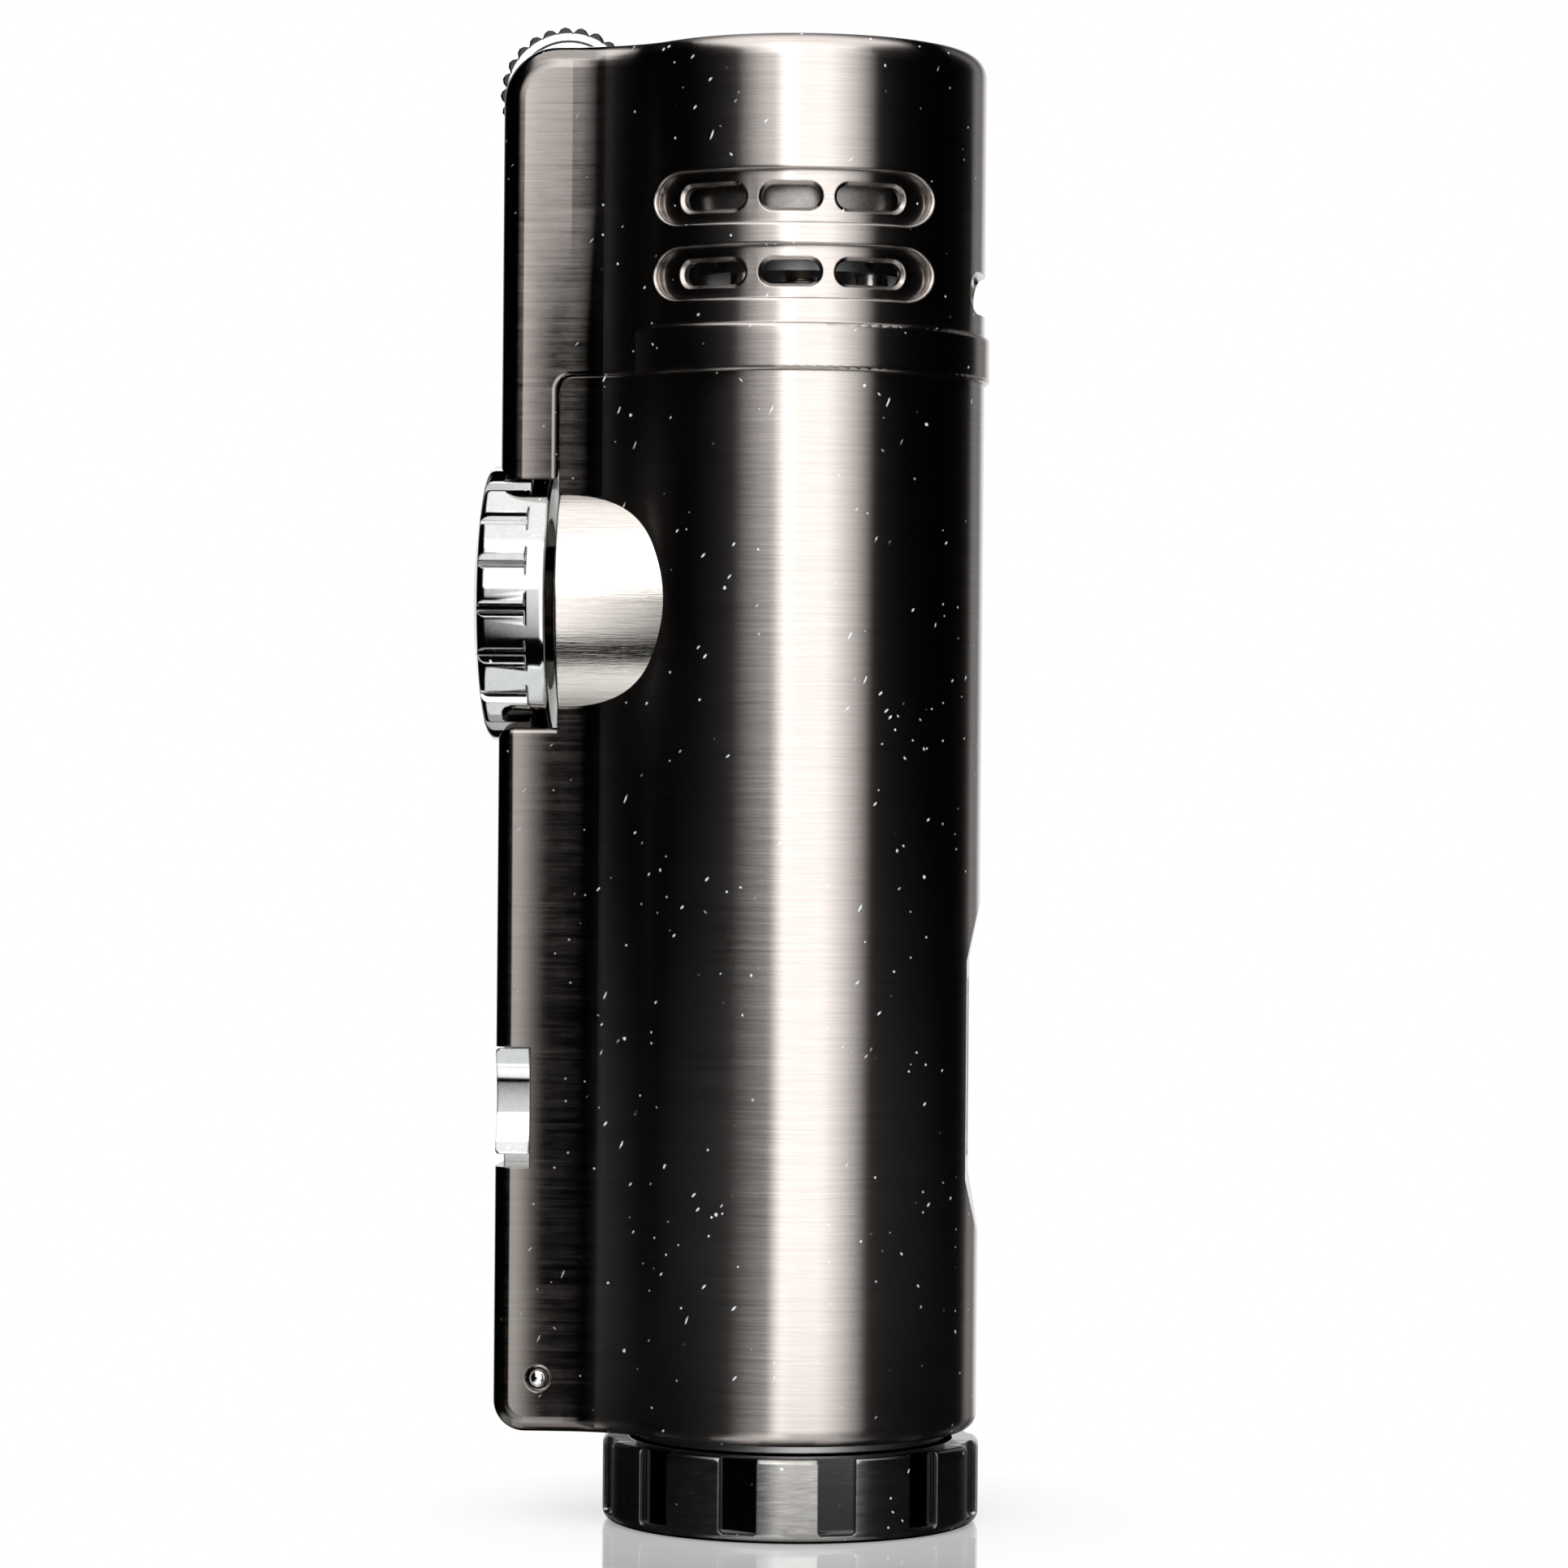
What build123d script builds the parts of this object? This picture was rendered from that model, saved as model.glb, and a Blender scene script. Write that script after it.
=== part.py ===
from build123d import *
import os
from math import atan2, degrees, sqrt

os.makedirs("parts", exist_ok=True)

# A pocket jet lighter with a flint wheel: a round body with a flat spine along its left side.
# The origin is the centre of the base knob's underside, +Z is up, the spine points to -X and
# the front faces -Y. All values are in millimetres and degrees.

# Round body and spine
body_radius = 11.4
spine_reach = 17.9
spine_width = 11.0
spine_blend = 7.2
sleeve_length = 64.1
sleeve_wall = 1.3
sleeve_edge = 1.0
sleeve_foot_corner = 1.9
sleeve_lip = 0.6
sleeve_lip_height = 0.9
hood_height = 20.2
hood_wall = 1.2
hood_roof = 1.4
hood_edge = 1.4
hood_corner = 3.4
belt_height = 2.85
belt_rise = 0.3
mouth_inset = 2.8

# Clearances
running = 0.05
sliding = 0.05
seat = 0.02
free = 0.3
hand_gap = 0.1

# Base knob, which is the flame adjuster
knob_overhang = 0.15
knob_height = 5.1
knob_gap = 0.6
knob_wall = 1.6
knob_recess = 1.6
knob_web = 1.4
knob_foot_edge = 0.7
knob_top_edge = 0.35
flute_count = 12
flute_width = 2.35
flute_depth = 0.5
flute_floor = 0.5
flute_turn = 2.2
port_radius = 3.6
filler_recess = 0.8
drive_tube_wall = 1.1
clip_thickness = 0.5
clip_width = 0.9

# Base plate and its screws
plate_thickness = 0.9
base_screw_count = 3
base_screw_lean = 0.09
base_screw_radius = 0.6
base_screw_head_radius = 1.0
base_screw_head_height = 0.8
base_screw_bite = 1.8
screw_slot = 0.3

# Fuel tank, filler valve and flow pad
tank_wall = 1.0
tank_floor = 3.0
tank_stand_off = 1.2
tank_head_room = 0.9
lid_thickness = 1.6
lid_spigot = 1.5
filler_radius = 2.35
filler_length = 12.0
filler_flange = 0.6
filler_stem_radius = 0.8
filler_stem_length = 4.2
adjuster_wall = 0.7
pad_thickness = 0.9
seal_wire = 0.35
gas_tube_radius = 0.9
gas_tube_bore = 0.45
gas_tube_gap = 0.7

# Fuel window in the right side
window_recess_depth = 0.7
window_recess_length = 20.35
window_flat_length = 13.3
window_rise = 22.2
window_width = 4.4
window_length = 11.0
window_thickness = 0.9
window_set_back = 0.15
window_corner = 1.4

# Side knob, which pulls the punch out, and the round boss behind it
punch_drop = 13.6
boss_radius = 8.45
boss_set_back = 3.65
boss_edge = 0.15
dial_radius = 8.45
dial_gap = 0.51
dial_proud = 1.9
dial_dome_radius = 37.5
dial_edge = 0.6
dial_flange = 1.2
dial_groove_count = 18
dial_groove_width = 0.66
dial_groove_depth = 0.45
dial_stem_step = 0.6
cap_radius = 6.2
cap_thickness = 0.8
pocket_clearance = 0.75
pocket_edge = 0.35
leg_gap = 0.1
leg_edge = 0.35
leg_corner = 0.8
blade_inset = 7.2
blade_wall = 0.35
blade_length = 13.0
blade_bevel = 0.8
collar_length = 3.0
collar_rim = 0.4
key_width = 1.4
key_rise = 0.4
lock_sleeve_wall = 0.6
lock_sleeve_length = 8.0
socket_wall = 0.7
socket_length = 18.4
socket_end = 0.8

# Fold-out pick in the spine
pick_thickness = 1.5
pick_pin_rise = 3.3
pick_pin_inset = 2.8
pick_pin_radius = 0.6
pick_pin_sink = 0.84
pick_length = 36.0
pick_depth = 3.6
pick_tang_radius = 1.95
pick_proud = 0.15
pick_point = 9.0
slot_length = 37.4
slot_depth = 4.9
notch_rise = 12.8
notch_length = 7.3
notch_depth = 2.16
tab_gap = 0.75
tab_inset = 0.5
tab_edge = 0.3
tab_scoop_radius = 5.0
tab_scoop_depth = 1.1
backspring_thickness = 0.3
backspring_length = 30.0

# Air vents in the hood
vent_lower = 5.9
vent_upper = 10.4
vent_width = 16.3
vent_height = 3.1
vent_depth = 0.5
vent_rim = 0.22
vent_slot_height = 1.4
vent_middle_slot = 3.5
vent_outer_slot = 4.2
vent_pitch = 26.0
side_vent_height = 5.4
side_vent_width = 8.4
side_vent_room = 2.6
side_vent_slot = 4.8

# Chassis plate, valve and rocker
chassis_thickness = 1.4
ring_drop = 3.0
ring_rise = 1.2
ring_wall = 0.9
post_inset = 0.2
post_radius = 0.9
post_angles = (-125, -35, 35, 125)
post_screw_radius = 0.45
post_screw_head = 0.8
valve_block_width = 4.2
valve_block_height = 3.0
valve_radius = 2.6
valve_height = 3.0
stem_radius = 0.9
stem_flange_radius = 1.9
stem_flange_height = 0.6
stem_entry = 0.8
stem_guide = 0.8
block_margin = 0.5
rocker_rise = 2.2
rocker_reach = 5.0
rocker_width = 5.4
rocker_thickness = 1.0
rocker_pad = 0.4
rocker_pin_radius = 0.5
rocker_tail = 4.6
rocker_nose = 5.4
rocker_pad_tail = 1.0
rocker_pad_nose = 1.3
rocker_slot_gap = 0.25
stand_wall = 0.8

# Burner
burner_rise = 6.4
burner_height = 4.3
burner_radius = 6.5
nozzle_reach = 3.7
nozzle_count = 4
nozzle_radius = 1.45
nozzle_bore = 0.55
nozzle_height = 4.0
nozzle_lip = 0.3
nozzle_cup = 0.8
guard_gap = 0.8
guard_wall = 0.5
guard_rise = 1.4
guard_shelf = 0.6
spark_window_width = 4.4
spark_window_height = 3.6

# Flint wheel and flint
wheel_radius = 4.2
wheel_drop = 2.8
wheel_inset = 3.8
wheel_tooth_count = 25
wheel_tooth_depth = 0.35
thumb_wheel_width = 1.8
core_radius = 3.7
core_width = 2.4
core_groove_count = 36
core_groove_depth = 0.2
axle_radius = 0.9
wheel_slot_gap = 0.5
wheel_side_gap = 0.2
ear_gap = 0.15
bracket_wall = 0.85
bracket_base_height = 2.5
bracket_length = 4.4
bracket_foot = 0.6
bracket_screw_radius = 0.4
bracket_screw_head = 0.72
bracket_screw_length = 5.0
bracket_screw_ahead = 1.7
bracket_screw_width = 4.8
flint_ahead = 0.9
flint_radius = 1.15
flint_length = 4.0
flint_tube_wall = 0.4
flint_rise = 1.0
flint_screw_length = 2.0
flint_spring_wire = 0.28
flint_spring_pitch = 0.8

# Thumb trigger below the wheel
trigger_drop = 3.9
trigger_wheel_gap = 1.0
trigger_width = 5.2
trigger_thickness = 1.0
trigger_proud = 0.15
trigger_gap = 0.2
trigger_pin_rise = 1.3
trigger_pin_inset = 1.4
trigger_pin_cover = 0.8
trigger_pin_radius = 0.45
trigger_knuckle_radius = 1.05
trigger_knuckle_width = 1.0
trigger_arm_thickness = 0.6
trigger_arm_height = 2.2
trigger_arm_overlap = 0.7
valve_spring_wire = 0.25
valve_spring_pitch = 0.5
trigger_spring_wire = 0.25
trigger_spring_pitch = 0.45

# Levels and radii that follow from the sizes above
knob_radius = body_radius + knob_overhang
mouth_radius = body_radius - mouth_inset
sleeve_bottom = knob_height + knob_gap
sleeve_top = sleeve_bottom + sleeve_length
hood_top = sleeve_top + hood_height
spine_half = spine_width / 2
sleeve_bore = body_radius - sleeve_wall
hood_bore = body_radius - hood_wall
hood_half = spine_half - hood_wall
knob_web_top = knob_recess + knob_web
adjuster_radius = filler_radius + running + adjuster_wall
drive_tube_bore = adjuster_radius + seat
drive_tube_radius = drive_tube_bore + drive_tube_wall
plate_neck_bottom = knob_height + hand_gap
plate_bottom = sleeve_bottom + sleeve_lip_height
plate_top = plate_bottom + plate_thickness
base_screw_offset = (drive_tube_radius + clip_width + sleeve_bore - sleeve_lip) / 2 + base_screw_lean
tank_bottom = plate_top + tank_stand_off
tank_radius = sleeve_bore - free
pad_chamber = tank_floor / 2
gas_tube_offset = tank_radius - tank_wall - gas_tube_radius - gas_tube_gap
window_middle = sleeve_bottom + window_rise
window_face = body_radius - window_recess_depth
punch_height = sleeve_top - punch_drop
boss_face = spine_reach - boss_set_back
dial_back = boss_face + dial_gap
dial_reach = spine_reach + dial_proud
leg_inner_face = boss_face + leg_gap
blade_radius = body_radius - blade_inset
collar_radius = blade_radius + collar_rim
dial_stem_radius = blade_radius - dial_stem_step
lock_sleeve_bore = collar_radius + sliding
lock_sleeve_radius = lock_sleeve_bore + lock_sleeve_wall
lock_face = boss_face - hand_gap
socket_radius = lock_sleeve_radius + running + socket_wall
pocket_radius = dial_radius + pocket_clearance
pick_pin_height = sleeve_bottom + pick_pin_rise
pick_pin_reach = spine_reach - pick_pin_inset
pick_top = pick_pin_height + pick_length
pick_swing_room = pick_pin_inset + pick_proud + hand_gap
notch_bottom = pick_pin_height + notch_rise
notch_top = notch_bottom + notch_length
tank_top = punch_height - socket_radius - tank_head_room - lid_thickness
tank_length = tank_top - tank_bottom
chassis_bottom = punch_height + socket_radius + 2 * free
chassis_top = chassis_bottom + chassis_thickness
post_offset = burner_radius - post_radius - post_inset
valve_block_top = chassis_top + valve_block_height
valve_top = valve_block_top + valve_height
rocker_height = sleeve_top + rocker_rise
rocker_top = rocker_height + rocker_thickness * 0.9
burner_bottom = sleeve_top + burner_rise
flange_bottom = rocker_top + rocker_pad + running
stem_bottom = valve_block_top - stem_entry
stem_top = burner_bottom + stem_guide
guard_radius = hood_bore - guard_gap
guard_bottom = burner_bottom + guard_rise
wheel_height = hood_top - wheel_drop
wheel_offset = spine_reach - wheel_inset
wheel_spot = (-wheel_offset, wheel_height)
wheel_width = core_width + 2 * thumb_wheel_width
wheel_slot_half = wheel_width / 2 + wheel_side_gap
bracket_inner = wheel_slot_half + ear_gap
bracket_outer = bracket_inner + bracket_wall
bracket_screw_offset = wheel_offset - bracket_screw_ahead
flint_offset = wheel_offset - flint_ahead
flint_top = wheel_height - core_radius - hand_gap
flint_tube_top = flint_top - flint_rise
flint_tube_radius = flint_radius + sliding + flint_tube_wall
flint_screw_bottom = sleeve_top + hand_gap
trigger_bottom = sleeve_top - trigger_drop
trigger_top = wheel_height - wheel_radius - trigger_wheel_gap
trigger_pin_height = trigger_bottom + trigger_pin_rise
trigger_pin_reach = spine_reach - trigger_pin_inset
trigger_arm_reach = rocker_reach + rocker_tail - trigger_arm_overlap
trigger_arm_bottom = flange_bottom + running
upright = (Align.CENTER, Align.CENTER, Align.MIN)


def save(piece, name):
    """Labels a finished piece and writes its STEP file."""
    piece.part.label = name
    export_step(piece.part, f"parts/{name}.step")


def keyhole(radius, reach, half_width, blend):
    """The outline of the round body with its spine, with sharp outer corners."""
    blend_y = half_width + blend
    blend_x = -sqrt((radius + blend) ** 2 - blend_y**2)
    turn = degrees(atan2(blend_y, blend_x))
    with BuildSketch() as outline:
        with BuildLine():
            CenterArc((0, 0), radius, 0, turn)
            CenterArc((blend_x, blend_y), blend, turn + 180, 90 - turn)
            Line((blend_x, half_width), (-reach, half_width))
            mirror(about=Plane.XZ)
            Line((-reach, half_width), (-reach, -half_width))
        make_face()
    return outline.sketch


def curved_pocket(width, height, level, facing, floor_radius):
    """A slot-shaped pocket into the round wall, whose floor follows the wall."""
    with BuildPart() as pocket:
        with BuildSketch(Plane.XZ):
            with Locations((0, level)):
                SlotOverall(width, height)
        extrude(amount=2 * body_radius)
        with Locations((0, 0, level - height)):
            Cylinder(floor_radius, 2 * height, align=upright, mode=Mode.SUBTRACT)
    return pocket.part.rotate(Axis.Z, facing)


def outer_rim(piece, radius):
    """The edges that the last cut left on the round wall of this radius."""
    return piece.edges(Select.LAST).filter_by(
        lambda e: all(abs(sqrt(p.X**2 + p.Y**2) - radius) < 0.01 for p in (e @ 0.0, e @ 0.5, e @ 1.0))
    )


def outer_edges(piece, radius):
    """The upright edges whose middle lies at this radius."""
    return piece.edges().filter_by(Axis.Z).filter_by(
        lambda e: abs(sqrt((e @ 0.5).X ** 2 + (e @ 0.5).Y ** 2) - radius) < 0.01
    )


def cross_bar(radius, length, x, z, mode=Mode.ADD):
    """A round bar along Y, centred on the middle plane."""
    with Locations((x, 0, z)):
        Cylinder(radius, length, rotation=(90, 0, 0), mode=mode)


def spring(radius, wire, pitch, height):
    """A coil spring standing on the origin."""
    with BuildPart() as coil:
        with BuildLine():
            path = Helix(pitch, height - wire, radius - wire / 2)
        with BuildSketch(Plane(path @ 0, z_dir=path % 0)):
            Circle(wire / 2)
        sweep(path=path, is_frenet=True)
    return coil.part.move(Location((0, 0, wire / 2)))


# ---------------------------------------------------------------- sleeve
with BuildPart() as sleeve:
    with BuildSketch(Plane.XY.offset(sleeve_bottom)):
        add(keyhole(body_radius, spine_reach, spine_half, spine_blend))
    extrude(amount=sleeve_length)
    foot_edge = sleeve.edges().filter_by(Axis.Y).group_by(Axis.X)[0].sort_by(Axis.Z)[0]
    fillet(foot_edge, sleeve_foot_corner)
    foot_face = sleeve.faces().sort_by(Axis.Z)[0]
    fillet(foot_face.edges(), sleeve_edge)
    # The knob's pocket, open above it for the hood's leg
    with Locations((-boss_face, 0, punch_height)):
        Box(
            spine_reach,
            2 * spine_width,
            punch_drop,
            align=(Align.MAX, Align.CENTER, Align.MIN),
            mode=Mode.SUBTRACT,
        )
        Cylinder(pocket_radius, spine_reach, rotation=(0, -90, 0), align=upright, mode=Mode.SUBTRACT)
    pocket_rim = sleeve.edges(Select.LAST).filter_by_position(Axis.Z, 0, punch_height)
    shoulder = sleeve.edges().filter_by(Axis.Y).group_by(Axis.Z)[-1].sort_by(Axis.X)[0]
    fillet(shoulder, leg_corner + leg_gap)
    fillet(pocket_rim.filter_by(GeomType.CIRCLE).group_by(Axis.X)[0], pocket_edge)
    # The bore, with a lip at its foot that carries the base plate
    with Locations((0, 0, plate_bottom)):
        Cylinder(sleeve_bore, sleeve_length, align=upright, mode=Mode.SUBTRACT)
    with Locations((0, 0, sleeve_bottom - 1)):
        Cylinder(sleeve_bore - sleeve_lip, sleeve_length, align=upright, mode=Mode.SUBTRACT)
    # The seat of the punch housing, whose round boss stands out on both sides of the spine
    with Locations((-boss_face - 1, 0, punch_height)):
        Cylinder(boss_radius + seat, boss_face, rotation=(0, 90, 0), align=upright, mode=Mode.SUBTRACT)
    # The fuel window's recess and opening
    with BuildSketch(Plane.XZ):
        with BuildLine():
            Polyline(
                (window_face, window_middle - window_flat_length / 2),
                (window_face, window_middle + window_flat_length / 2),
                (body_radius, window_middle + window_recess_length / 2),
                (2 * body_radius, window_middle + window_recess_length / 2),
                (2 * body_radius, window_middle - window_recess_length / 2),
                (body_radius, window_middle - window_recess_length / 2),
                close=True,
            )
        make_face()
    extrude(amount=body_radius, both=True, mode=Mode.SUBTRACT)
    with BuildSketch(Plane.YZ):
        with Locations((0, window_middle)):
            RectangleRounded(window_width, window_length, window_corner)
    extrude(amount=2 * body_radius, mode=Mode.SUBTRACT)
    # The pick's slot, deeper round the pin where the pick swings, its pin holes and the nail notch
    with Locations((-pick_pin_reach, 0, pick_pin_height)):
        Cylinder(pick_swing_room, pick_thickness + 2 * hand_gap, rotation=(90, 0, 0), mode=Mode.SUBTRACT)
        Box(
            2 * pick_swing_room,
            pick_thickness + 2 * hand_gap,
            2 * pick_pin_height,
            align=(Align.CENTER, Align.CENTER, Align.MAX),
            mode=Mode.SUBTRACT,
        )
    with Locations((-spine_reach + slot_depth, 0, 0)):
        Box(
            spine_reach,
            pick_thickness + 2 * hand_gap,
            pick_pin_height + slot_length,
            align=(Align.MAX, Align.CENTER, Align.MIN),
            mode=Mode.SUBTRACT,
        )
    cross_bar(pick_pin_radius + seat, 2 * spine_width, -pick_pin_reach, pick_pin_height, Mode.SUBTRACT)
    with Locations(Location((-pick_pin_reach, -spine_half, pick_pin_height), (90, 0, 0))):
        CounterSinkHole(pick_pin_radius, pick_pin_sink, spine_half)
    with Locations((-spine_reach + notch_depth, 0, notch_bottom)):
        Box(
            spine_reach,
            2 * spine_width,
            notch_top - notch_bottom,
            align=(Align.MAX, Align.CENTER, Align.MIN),
            mode=Mode.SUBTRACT,
        )
    # Screw holes for the wheel bracket in the top of the spine
    with Locations((-bracket_screw_offset, 0, sleeve_top + bracket_base_height)):
        with GridLocations(0, bracket_screw_width, 1, 2):
            Cylinder(
                bracket_screw_radius + seat,
                bracket_screw_length,
                align=(Align.CENTER, Align.CENTER, Align.MAX),
                mode=Mode.SUBTRACT,
            )
save(sleeve, "sleeve")

# ---------------------------------------------------------------- hood
with BuildPart() as hood:
    with BuildSketch(Plane.XY.offset(punch_height)):
        add(keyhole(body_radius, spine_reach, spine_half, spine_blend))
    extrude(amount=hood_top - punch_height)
    top_edge = hood.edges().filter_by(Axis.Y).group_by(Axis.X)[0].sort_by(Axis.Z)[-1]
    fillet(top_edge, hood_corner)
    top_face = hood.faces().sort_by(Axis.Z)[-1]
    fillet(top_face.edges(), hood_edge)
    # Below the joint only the leg on the spine is left, cut round above the side knob
    with Locations((-leg_inner_face, 0, 0)):
        Box(
            2 * spine_reach + leg_inner_face,
            3 * body_radius,
            sleeve_top,
            align=(Align.MIN, Align.CENTER, Align.MIN),
            mode=Mode.SUBTRACT,
        )
    leg_cut = hood.edges(Select.LAST)
    inner_corner = leg_cut.filter_by(Axis.Y).group_by(Axis.Z)[-1].sort_by(Axis.X)[0]
    fillet(inner_corner, leg_corner)
    leg_sides = hood.edges().filter_by(Axis.Z).filter_by(lambda e: abs((e @ 0.5).X + leg_inner_face) < 0.01)
    fillet(leg_sides, leg_edge)
    with Locations((-boss_face, 0, punch_height)):
        Cylinder(pocket_radius, spine_reach, rotation=(0, -90, 0), align=upright, mode=Mode.SUBTRACT)
    # The belt round the foot of the hood
    with BuildSketch(Plane.XZ) as belt:
        with Locations((body_radius + belt_rise, sleeve_top)):
            Rectangle(hood_wall, belt_height, align=(Align.MAX, Align.MIN))
        fillet(belt.vertices().group_by(Axis.X)[-1], belt_rise * 0.9)
    revolve(axis=Axis.Z)
    # The hollow inside and the flame's mouth
    with BuildSketch(Plane.XY.offset(sleeve_top)):
        add(keyhole(hood_bore, spine_reach - hood_wall, hood_half, spine_blend + hood_wall))
    extrude(amount=hood_height - hood_roof, mode=Mode.SUBTRACT)
    with Locations((0, 0, sleeve_top)):
        Cylinder(mouth_radius, hood_height + 1, align=upright, mode=Mode.SUBTRACT)
    # The wheel's slot in the corner
    cross_bar(
        wheel_radius + wheel_slot_gap,
        2 * wheel_slot_half,
        -wheel_offset,
        wheel_height,
        Mode.SUBTRACT,
    )
    # The trigger's slot down the outer face, with a deeper pocket for its knuckles
    trigger_half = trigger_width / 2 + trigger_gap
    with Locations((-spine_reach + hood_wall + hand_gap, 0, trigger_bottom - trigger_gap)):
        Box(
            spine_reach,
            2 * trigger_half,
            trigger_top - trigger_bottom + 2 * trigger_gap,
            align=(Align.MAX, Align.CENTER, Align.MIN),
            mode=Mode.SUBTRACT,
        )
    knuckle_room = trigger_knuckle_radius + trigger_gap
    with Locations((-trigger_pin_reach + knuckle_room, 0, trigger_bottom - trigger_gap)):
        Box(
            spine_reach,
            2 * trigger_half,
            sleeve_top - trigger_bottom + 2 * trigger_gap,
            align=(Align.MAX, Align.CENTER, Align.MIN),
            mode=Mode.SUBTRACT,
        )
    trigger_pin_length = spine_width - 2 * trigger_pin_cover
    cross_bar(
        trigger_pin_radius + seat,
        trigger_pin_length,
        -trigger_pin_reach,
        trigger_pin_height,
        Mode.SUBTRACT,
    )
    # The air vents: stadium pockets in front and behind, with slots through their floors
    vent_slots = ((-vent_pitch, vent_outer_slot), (0, vent_middle_slot), (vent_pitch, vent_outer_slot))
    vent_floor = body_radius - vent_depth
    for facing in (0, 180):
        for level in (vent_lower, vent_upper):
            pocket = curved_pocket(vent_width, vent_height, sleeve_top + level, facing, vent_floor)
            add(pocket, mode=Mode.SUBTRACT)
            fillet(outer_rim(hood, body_radius), vent_rim)
            for turn, width in vent_slots:
                slot = curved_pocket(
                    width,
                    vent_slot_height,
                    sleeve_top + level,
                    facing + turn,
                    hood_bore - 1,
                )
                add(slot, mode=Mode.SUBTRACT)
                chamfer(outer_rim(hood, vent_floor), vent_rim)
    # One single vent on the right side
    side_level = sleeve_top + side_vent_height
    side = curved_pocket(side_vent_width, side_vent_room, side_level, 90, window_face)
    add(side, mode=Mode.SUBTRACT)
    slot = curved_pocket(side_vent_slot, vent_slot_height, side_level, 90, hood_bore - 1)
    add(slot, mode=Mode.SUBTRACT)
save(hood, "hood")

# ---------------------------------------------------------------- base knob and adjuster
with BuildPart() as base_knob:
    Cylinder(knob_radius, knob_height, align=upright)
    fillet(base_knob.edges().group_by(Axis.Z)[0], knob_foot_edge)
    fillet(base_knob.edges().group_by(Axis.Z)[-1], knob_top_edge)
    with PolarLocations(knob_radius, flute_count, start_angle=flute_turn - 90 + 180 / flute_count):
        with Locations((0, 0, flute_floor)):
            Box(2 * flute_depth, flute_width, knob_height, align=upright, mode=Mode.SUBTRACT)
    lobe_edges = outer_edges(base_knob, knob_radius).filter_by(lambda e: e.length > knob_height / 2)
    chamfer(lobe_edges, flute_depth / 3)
    with Locations((0, 0, knob_web_top)):
        Cylinder(knob_radius - knob_wall, knob_height, align=upright, mode=Mode.SUBTRACT)
    with Locations((0, 0, knob_recess)):
        Cylinder(drive_tube_radius, tank_bottom - hand_gap - knob_recess, align=upright)
        Cylinder(drive_tube_bore, tank_bottom, align=upright, mode=Mode.SUBTRACT)
    Cylinder(port_radius, knob_recess, align=upright, mode=Mode.SUBTRACT)
    with BuildSketch(Plane.XY.offset(plate_top + running)):
        Circle(drive_tube_radius + 1)
        Circle(drive_tube_radius - clip_width / 3, mode=Mode.SUBTRACT)
    extrude(amount=clip_thickness + 2 * seat, mode=Mode.SUBTRACT)
save(base_knob, "base_knob")

with BuildPart() as knob_clip:
    with BuildSketch(Plane.XY.offset(plate_top + running + seat)):
        Circle(drive_tube_radius + clip_width)
        Circle(drive_tube_radius - clip_width / 3 + seat, mode=Mode.SUBTRACT)
        with Locations((drive_tube_radius, 0)):
            Rectangle(2 * drive_tube_radius, clip_width, mode=Mode.SUBTRACT)
    extrude(amount=clip_thickness)
save(knob_clip, "knob_clip")

with BuildPart() as adjuster_sleeve:
    with Locations((0, 0, knob_web_top)):
        Cylinder(adjuster_radius, tank_bottom + pad_chamber - pad_thickness - knob_web_top, align=upright)
        Cylinder(filler_radius + running, tank_bottom, align=upright, mode=Mode.SUBTRACT)
save(adjuster_sleeve, "adjuster_sleeve")

# ---------------------------------------------------------------- base plate
with BuildPart() as base_plate:
    with Locations((0, 0, plate_neck_bottom)):
        Cylinder(sleeve_bore - sleeve_lip - seat, plate_top - plate_neck_bottom, align=upright)
    with Locations((0, 0, plate_bottom)):
        Cylinder(sleeve_bore - seat, plate_thickness, align=upright)
    with Locations((0, 0, plate_neck_bottom)):
        Cylinder(drive_tube_radius + running, knob_height, align=upright, mode=Mode.SUBTRACT)
    with PolarLocations(base_screw_offset, base_screw_count, start_angle=60):
        with Locations((0, 0, plate_neck_bottom)):
            Cylinder(base_screw_radius + seat, knob_height, align=upright, mode=Mode.SUBTRACT)
            Cylinder(
                base_screw_head_radius + hand_gap,
                base_screw_head_height,
                align=upright,
                mode=Mode.SUBTRACT,
            )
save(base_plate, "base_plate")

with BuildPart() as base_screws:
    shank = tank_bottom + base_screw_bite - plate_neck_bottom
    with PolarLocations(base_screw_offset, base_screw_count, start_angle=60):
        with Locations((0, 0, plate_neck_bottom)):
            Cylinder(base_screw_head_radius, base_screw_head_height, align=upright)
            Cylinder(base_screw_radius, shank, align=upright)
            Box(2 * base_screw_head_radius, screw_slot, screw_slot, align=upright, mode=Mode.SUBTRACT)
save(base_screws, "base_screws")

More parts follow.
